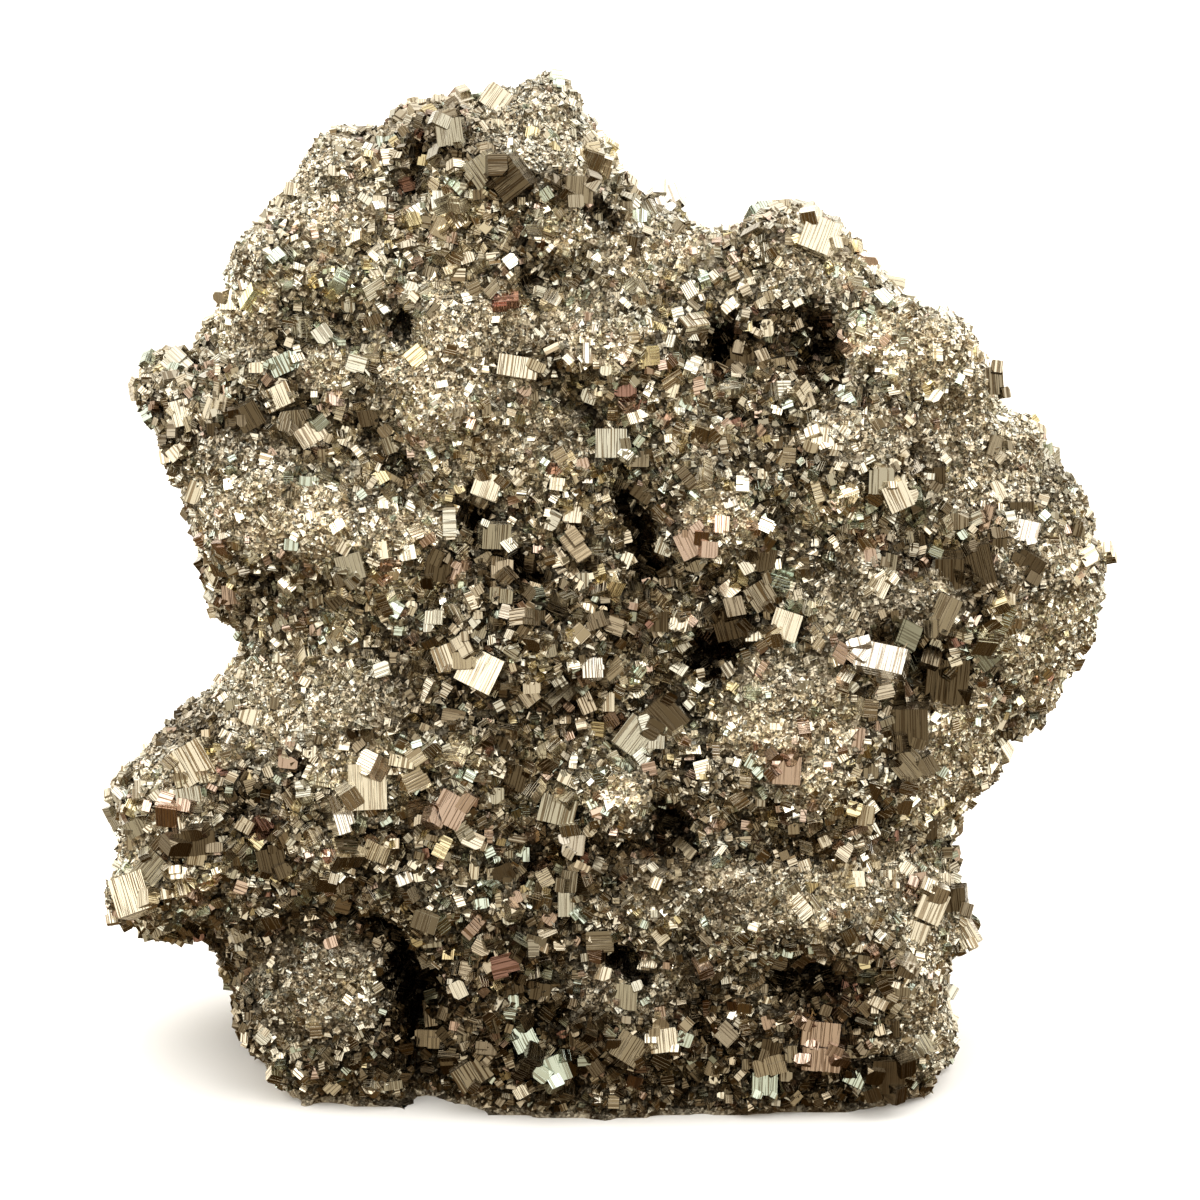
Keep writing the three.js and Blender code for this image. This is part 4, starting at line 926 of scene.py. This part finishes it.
# Crystals that each have their own place in the view, on the first thing that the sight line meets. Gives
# the object, and the centre, turn and size of each crystal.
def makePlaced(name, rows, surface, stand, seed):
    rng = np.random.default_rng(seed)
    shape = {"points": [], "faces": [], "uvs": []}
    seeds, edges, shades, boxes = [], [], [], []
    for across, up, width, height, spin, tone in rows:
        sight = sightThrough(across, up)
        hit = surface.ray_cast(eye, sight)[0]
        if hit is None:
            continue
        kind, bright, tip = tones[tone]
        turn = turnOf(spin, tip + rng.uniform(-3, 3), rng.uniform(-1, 1) * bigPlan["side"])
        size = (width, height, (width + height) / 2)
        reach = min(size[k] / 2 / max(abs(turn.col[k].dot(sight)), 1e-6) for k in range(3))
        centre = hit / mm + sight * (reach - size[2] * stand)
        before = len(shape["points"])
        if min(size) < bigPlan["ribbedFrom"]:
            addCutCube(shape, (0, 0, 0), np.array(size) / 2, cornerCuts(rng), turn, centre, size[2])
        else:
            addRibbedCrystal(shape, centre, size, turn, rng)
            addTwins(shape, centre, size, turn, rng)
        lowest = min(point.z for point in shape["points"][before:])
        if lowest < 0:
            shape["points"][before:] = [point - Vector((0, 0, lowest)) for point in shape["points"][before:]]
            centre = centre - Vector((0, 0, lowest))
        grown = len(shape["points"]) - before
        seeds += [seedOf(kind, rng)] * grown
        edges += [size[2]] * grown
        # Painted shade: the tone's share of brightness
        shades += [bright * rng.uniform(0.95, 1.05)] * grown
        boxes.append((centre, turn, size))
    mesh = meshOf(name, shape)
    mesh.transform(Matrix.Scale(mm, 4))
    setPointValues(mesh, "crystalSeed", seeds)
    setPointValues(mesh, "crystalSize", edges)
    setPointValues(mesh, "shade", shades)
    mesh.materials.append(crystalFinish)
    print(name, len(boxes), "triangles", trianglesIn(mesh))
    return newObject(name, mesh), boxes


# Which points lie in a box, or within a margin of it, in mm.
def within(points, boxes, margin):
    near = np.zeros(len(points), bool)
    for centre, turn, size in boxes:
        close = np.nonzero(np.linalg.norm(points / mm - np.array(centre), axis=1) < max(size) + margin)[0]
        local = np.abs((points[close] / mm - np.array(centre)) @ np.array(turn))
        near[close[np.all(local < np.array(size) / 2 + margin, axis=1)]] = True
    return near


solid = BVHTree.FromObject(cluster, bpy.context.evaluated_depsgraph_get())
largeCubes, largeBoxes = makePlaced("large_cubes", bigCrystals, solid, 0, bigPlan["seed"])
nearCrystal = within(calmPoints, largeBoxes, 0.9)


# Lifts the calm ground into clumps and bumps, cuts the crevices, and keeps how bright each place is: its
# tone, the painted light and shade of the patches, and painted shade in hollows, in crevices and towards the
# bottom.
def raiseGround():
    rng = np.random.default_rng(groundPlan["seed"])
    rise = np.full(len(calmPoints), -groundPlan["sunk"])
    for layer, (width, height) in enumerate(groundPlan["hills"]):
        rise += height * hills(calmPoints / (width * mm), layer + 1)
    for x, y, radius, out in groundPlan["lumps"]:
        rise += out * np.exp(-((across - x) ** 2 + (up - y) ** 2) / radius ** 2)
    apart, wide, deep = groundPlan["crevice"]
    crevice = np.clip(1 - np.abs(hills(calmPoints / (apart * mm), 9)) / wide, 0, 1) * (1 - 0.75 * fine)
    rise -= deep * crevice
    rise[nearCrystal] = np.minimum(rise[nearCrystal], 0) - groundPlan["underCrystal"]
    moved = calmPoints + calmNormals * rise[:, None] * mm
    moved += rng.normal(0, groundPlan["grain"] * mm, moved.shape)
    moved[:, 2] = np.maximum(moved[:, 2], 0)
    moved = np.where(sawnPoints[:, None], calmPoints, moved)
    groundMesh.vertices.foreach_set("co", moved.astype(np.float32).ravel())
    shape = bmesh.new()
    shape.from_mesh(groundMesh)
    bmesh.ops.triangulate(shape, faces=shape.faces, quad_method="SHORT_EDGE")
    shape.to_mesh(groundMesh)
    shape.free()
    groundMesh.shade_flat()
    groundMesh.update()
    # Painted shade: darker where the ground is shut in, in the crevices and towards the bottom. The crystals
    # of the crust take this shade over from the ground.
    shut = np.clip((hollow - 0.15) / 0.85, 0, 1)
    low = np.clip(1 - calmPoints[:, 2] / (groundPlan["darkened"] * mm), 0, 1)
    shade = (groundPlan["plain"] + groundPlan["fineGain"] * fine) * patchToneAndLight
    for kind, share in {"shut": shut, "crevice": crevice, "low": low}.items():
        shade *= 1 - groundPlan["dimmed"][kind] * share
    setPointValues(groundMesh, "shade", shade)
    full, fading = groundPlan["footShown"]
    foot = np.clip(full - calmPoints[:, 2] / (fading * mm), 0, 1)
    # Painted shade: the ground that shows between the coarser crystals is much darker, except on the fine
    # crust and at the foot
    setPointValues(groundMesh, "groundShade", shade * (0.25 + 0.75 * np.maximum(fine, foot)))
    groundMesh.materials.append(druseFinish())
    return newObject("pyrite_ground", groundMesh), crevice, moved


ground, crevice, groundPoints = raiseGround()
print("ground triangles", len(ground.data.polygons))
raised = BVHTree.FromObject(ground, bpy.context.evaluated_depsgraph_get())
placedCubes, placedBoxes = makePlaced("placed_cubes", placedCrystals, raised, bigPlan["stand"],
                                      bigPlan["seed"] + 1)

# spacing, smallest and largest edge in mm; power above 1 makes small ones commoner; lift is the share of the
# edge that the middle lies above the ground; tilt in degrees; kinds is the share of the kinds of face that
# they have; clear is how far above the base they start, as a share of the largest edge; room is where they
# grow
crust = {
    "bold_cubes": dict(
        spacing=5.5, smallest=2.8, largest=5.0, power=1.8, lift=0.05, tilt=40, kinds=1, seed=1,
        forms="stepped", clear=0.9, room=(0.1 + 0.9 * coarse) * (1 - fine)),
    "middling_cubes": dict(
        spacing=2.2, smallest=1.5, largest=3.3, power=1.7, lift=0.1, tilt=50, kinds=1, seed=2,
        forms="mixed", clear=0.8, room=(1 - 0.95 * fine) * (0.5 + 0.5 * coarse) * (1 - 0.6 * crevice)),
    "small_cubes": dict(
        spacing=1.35, smallest=0.9, largest=1.9, power=1.5, lift=0.14, tilt=60, kinds=0.95, seed=3,
        forms="small", clear=0.55, room=(1 - 0.8 * fine) * (1 - 0.4 * crevice)),
    "fine_grains": dict(
        spacing=0.68, smallest=0.55, largest=1.1, power=1.3, lift=0.15, tilt=50, kinds=0.6, seed=4,
        forms="grains", clear=0.3, room=np.clip(fine - 0.1, 0, 1)),
    "grains": dict(
        spacing=0.95, smallest=0.8, largest=1.4, power=1.2, lift=0.1, tilt=60, kinds=0.8, seed=5,
        forms="grains", clear=0.3, room=(1 - fine) * (1 - 0.5 * crevice)),
}


# Scatters crystals over the ground: each gets its size, its kind of face, its own tilt and one of the forms,
# and none of them reaches below the base.
def crustTree():
    tree = bpy.data.node_groups.new("crystal crust", "GeometryNodeTree")
    sockets = [("Ground", "Geometry"), ("Forms", "Collection"), ("Finish", "Material"), ("Spacing", "Float"),
               ("Crowding", "Float"), ("Smallest", "Float"), ("Largest", "Float"), ("Power", "Float"),
               ("Lift", "Float"), ("Tilt", "Float"), ("Kinds", "Float"), ("Reach", "Float"), ("Seed", "Int")]
    for name, kind in sockets:
        tree.interface.new_socket(name, in_out="INPUT", socket_type="NodeSocket" + kind)
    tree.interface.new_socket("Crust", in_out="OUTPUT", socket_type="NodeSocketGeometry")
    given = put(tree, "NodeGroupInput").outputs
    room = put(tree, "GeometryNodeInputNamedAttribute", {"Name": "room"}, data_type="FLOAT").outputs[0]
    spread = put(tree, "GeometryNodeDistributePointsOnFaces",
                 {"Mesh": given["Ground"], "Distance Min": given["Spacing"], "Density Max": given["Crowding"],
                  "Density Factor": room, "Seed": given["Seed"]}, distribute_method="POISSON").outputs

    def chance(number, low, high, kind="FLOAT"):
        seed = put(tree, "ShaderNodeMath", {0: given["Seed"], 1: float(number)}, operation="MULTIPLY_ADD")
        seed.inputs[2].default_value = number
        values = {"FLOAT": (2, 3, 1), "FLOAT_VECTOR": (0, 1, 0), "INT": (4, 5, 2)}[kind]
        node = put(tree, "FunctionNodeRandomValue",
                   {values[0]: low, values[1]: high, "Seed": seed.outputs[0]}, data_type=kind)
        return node.outputs[values[2]]

    share = put(tree, "ShaderNodeMath", {0: chance(3, 0.0, 1.0), 1: given["Power"]},
                operation="POWER").outputs[0]
    size = put(tree, "ShaderNodeMapRange", {"Value": share, "To Min": given["Smallest"],
                                            "To Max": given["Largest"]}).outputs[0]
    keepSize = put(tree, "GeometryNodeStoreNamedAttribute",
                   {"Geometry": spread["Points"], "Name": "crystalSize", "Value": size},
                   data_type="FLOAT", domain="POINT").outputs[0]
    keepSeed = put(tree, "GeometryNodeStoreNamedAttribute",
                   {"Geometry": keepSize, "Name": "crystalSeed", "Value": chance(5, 0.0, given["Kinds"])},
                   data_type="FLOAT", domain="POINT").outputs[0]
    kept = put(tree, "GeometryNodeInputNamedAttribute", {"Name": "crystalSize"}, data_type="FLOAT").outputs[0]
    edge = put(tree, "ShaderNodeMath", {0: kept, 1: mm}, operation="MULTIPLY").outputs[0]
    lift = put(tree, "ShaderNodeMath", {0: edge, 1: given["Lift"]}, operation="MULTIPLY").outputs[0]
    upright = put(tree, "ShaderNodeVectorMath", {0: (0, 0, 1), "Scale": lift}, operation="SCALE").outputs[0]
    outward = put(tree, "FunctionNodeRotateVector",
                  {"Vector": upright, "Rotation": spread["Rotation"]}).outputs[0]
    lifted = put(tree, "GeometryNodeSetPosition", {"Geometry": keepSeed, "Offset": outward}).outputs[0]
    here = put(tree, "GeometryNodeInputPosition").outputs[0]
    place = put(tree, "ShaderNodeSeparateXYZ", {0: here}).outputs
    reach = put(tree, "ShaderNodeMath", {0: edge, 1: given["Reach"]}, operation="MULTIPLY").outputs[0]
    height = put(tree, "ShaderNodeMath", {0: place[2], 1: reach}, operation="MAXIMUM").outputs[0]
    spot = put(tree, "ShaderNodeCombineXYZ", {0: place[0], 1: place[1], 2: height}).outputs[0]
    standing = put(tree, "GeometryNodeSetPosition", {"Geometry": lifted, "Position": spot}).outputs[0]
    tilt = put(tree, "ShaderNodeVectorMath",
               {0: chance(7, (-1, -1, -9), (1, 1, 9), "FLOAT_VECTOR"), "Scale": given["Tilt"]},
               operation="SCALE").outputs[0]
    tilting = put(tree, "FunctionNodeEulerToRotation", {0: tilt}).outputs[0]
    turned = put(tree, "FunctionNodeRotateRotation", {"Rotation": spread["Rotation"], "Rotate By": tilting},
                 rotation_space="LOCAL").outputs[0]
    pick = put(tree, "GeometryNodeCollectionInfo", {"Collection": given["Forms"], "Separate Children": True,
                                                    "Reset Children": True}).outputs[0]
    grown = put(tree, "GeometryNodeInstanceOnPoints",
                {"Points": standing, "Instance": pick, "Pick Instance": True,
                 "Instance Index": chance(9, 0, 30, "INT"), "Rotation": turned, "Scale": edge}).outputs[0]
    real = put(tree, "GeometryNodeRealizeInstances", {"Geometry": grown}).outputs[0]
    done = put(tree, "GeometryNodeSetMaterial", {"Geometry": real, "Material": given["Finish"]}).outputs[0]
    put(tree, "NodeGroupOutput", {"Crust": done})
    return tree


crustNodes = crustTree()
formReach = 1.45  # times the edge, from the middle of the largest form to its furthest corner


def growCrust(name, plan):
    clear = np.clip((groundPoints[:, 2] / mm - plan["largest"] * plan["clear"]) * 2, 0, 1)
    margin = plan["largest"] * 0.35 - 0.8
    taken = sawnPoints | within(groundPoints, largeBoxes + placedBoxes, margin)
    room = np.clip(plan["room"], 0, 1) * ~taken * clear
    setPointValues(ground.data, "room", room)
    source = newObject(name + "Source", ground.data)
    modifier = source.modifiers.new("crust", "NODES")
    modifier.node_group = crustNodes
    values = {"Forms": forms[plan["forms"]], "Finish": crystalFinish, "Spacing": plan["spacing"] * mm,
              "Crowding": 4 / (plan["spacing"] * mm) ** 2, "Smallest": plan["smallest"],
              "Largest": plan["largest"], "Power": plan["power"], "Lift": plan["lift"],
              "Tilt": math.radians(plan["tilt"]), "Kinds": plan["kinds"], "Reach": formReach,
              "Seed": plan["seed"]}
    for item in crustNodes.interface.items_tree:
        if item.name in values:
            modifier[item.identifier] = values[item.name]
    graph = bpy.context.evaluated_depsgraph_get()
    mesh = bpy.data.meshes.new_from_object(source.evaluated_get(graph), preserve_all_data_layers=True,
                                           depsgraph=graph)
    bpy.data.objects.remove(source)
    mesh.name = name
    mesh.shade_flat()
    piece = newObject(name, mesh)
    print(name, "triangles", trianglesIn(mesh))
    return piece


crusts = {name: growCrust(name, plan) for name, plan in crust.items()}
bpy.data.node_groups.remove(crustNodes)
for collection in forms.values():
    for form in list(collection.objects):
        bpy.data.objects.remove(form)
    bpy.data.collections.remove(collection)

# The pale paper that the cluster stands on, which runs up behind it. Lengths are in m.
stagePlan = {"floor": "#f4f3f1", "width": 3.0, "depth": 1.6, "height": 1.8, "bend": 0.5, "steps": 16}


def makeBackdrop():
    steps = stagePlan["steps"]
    profile = [(-stagePlan["depth"] * 1.2, 0), (stagePlan["depth"] - stagePlan["bend"], 0)]
    for i in range(1, steps + 1):
        angle = math.pi / 2 * i / steps
        profile.append((stagePlan["depth"] - stagePlan["bend"] * (1 - math.sin(angle)),
                        stagePlan["bend"] * (1 - math.cos(angle))))
    profile.append((stagePlan["depth"], stagePlan["height"]))
    wide = stagePlan["width"]
    points = [(x, y, z) for y, z in profile for x in (-wide, wide)]
    faces = [(2 * i, 2 * i + 1, 2 * i + 3, 2 * i + 2) for i in range(len(profile) - 1)]
    mesh = bpy.data.meshes.new("backdrop")
    mesh.from_pydata(points, [], faces)
    mesh.shade_smooth()
    material = bpy.data.materials.new("matt white paper sweep")
    material.use_nodes = True
    shader = material.node_tree.nodes["Principled BSDF"]
    shader.inputs["Base Color"].default_value = srgb(stagePlan["floor"])
    shader.inputs["Roughness"].default_value = 0.9
    shader.inputs["Specular IOR Level"].default_value = 0.1
    mesh.materials.append(material)
    backdrop = newObject("backdrop", mesh)
    backdrop.visible_glossy = False


# Lamps, each aimed at the middle of the cluster: degrees round from the front and above level, distance,
# width and height in m, brightness, colour
lightPlan = {
    "overhead": (8, 70, 1.5, 2.2, 1.6, 0.75, "#ffffff"),
    "front left window": (-48, 34, 1.7, 1.1, 1.1, 1.1, "#fffaf2"),
    "right fill": (66, 20, 1.7, 1.0, 1.3, 1.0, "#f8f9ff"),
    "left strip": (-84, 12, 1.5, 0.3, 1.3, 1.6, "#f4f7ff"),
    "lamp": (18, 46, 1.5, 0.35, 0.35, 2.6, "#ffffff"),
}
# The room that the faces of the crystals mirror: how high above level, from -1 straight down to 1 straight
# up, and its colour there. Bright above and dim below.
roomPlan = {
    "strength": 2.5,
    "behind": 0.4,  # what the lit back wall of the room adds to the height
    "colours": [(-1.0, "#190f04"), (-0.5, "#4e3b22"), (0.0, "#aca28e"), (0.5, "#ebe7df"), (1.0, "#f7f5f1")],
}


def makeLights():
    middle = Vector((0, 0, 90)) * mm
    for name, (around, above, distance, width, height, brightness, colour) in lightPlan.items():
        data = bpy.data.lights.new(name, "AREA")
        data.shape = "RECTANGLE"
        data.size = width
        data.size_y = height
        data.energy = brightness * math.pi * width * height
        data.color = srgb(colour)[:3]
        light = newObject(name, data)
        spin, lift = math.radians(around), math.radians(above)
        away = Vector((math.sin(spin) * math.cos(lift), -math.cos(spin) * math.cos(lift), math.sin(lift)))
        light.location = middle + away * distance
        light.rotation_euler = away.to_track_quat("Z", "Y").to_euler()


def makeRoom():
    world = bpy.data.worlds.new("room")
    world.use_nodes = True
    tree = world.node_tree
    background = tree.nodes["Background"]
    direction = put(tree, "ShaderNodeTexCoord").outputs["Generated"]
    part = put(tree, "ShaderNodeSeparateXYZ", {0: direction}).outputs
    lift = put(tree, "ShaderNodeMapRange", {"Value": part["Y"], "To Max": roomPlan["behind"]}).outputs[0]
    raisedHeight = put(tree, "ShaderNodeMath", {0: part["Z"], 1: lift}, operation="ADD").outputs[0]
    share = put(tree, "ShaderNodeMapRange", {"Value": raisedHeight, "From Min": -1.0}).outputs[0]
    ramp = put(tree, "ShaderNodeValToRGB", {"Fac": share})
    for i, (above, colour) in enumerate(roomPlan["colours"]):
        stop = ramp.color_ramp.elements[i] if i < 2 else ramp.color_ramp.elements.new(1)
        stop.position = (above + 1) / 2
        stop.color = srgb(colour)
    tree.links.new(ramp.outputs[0], background.inputs["Color"])
    background.inputs["Strength"].default_value = roomPlan["strength"]
    bpy.context.scene.world = world


makeBackdrop()
makeLights()
makeRoom()
bpy.context.scene.view_settings.view_transform = "Standard"

pieces = [ground, largeCubes, placedCubes, *crusts.values()]
for piece in pieces:
    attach(piece, "root")
    print(piece.name, "lowest point", round(min(point.co.z for point in piece.data.vertices) / mm, 2), "mm")
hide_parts("pyrite_cluster")
print("triangles in all", sum(trianglesIn(piece.data) for piece in pieces))
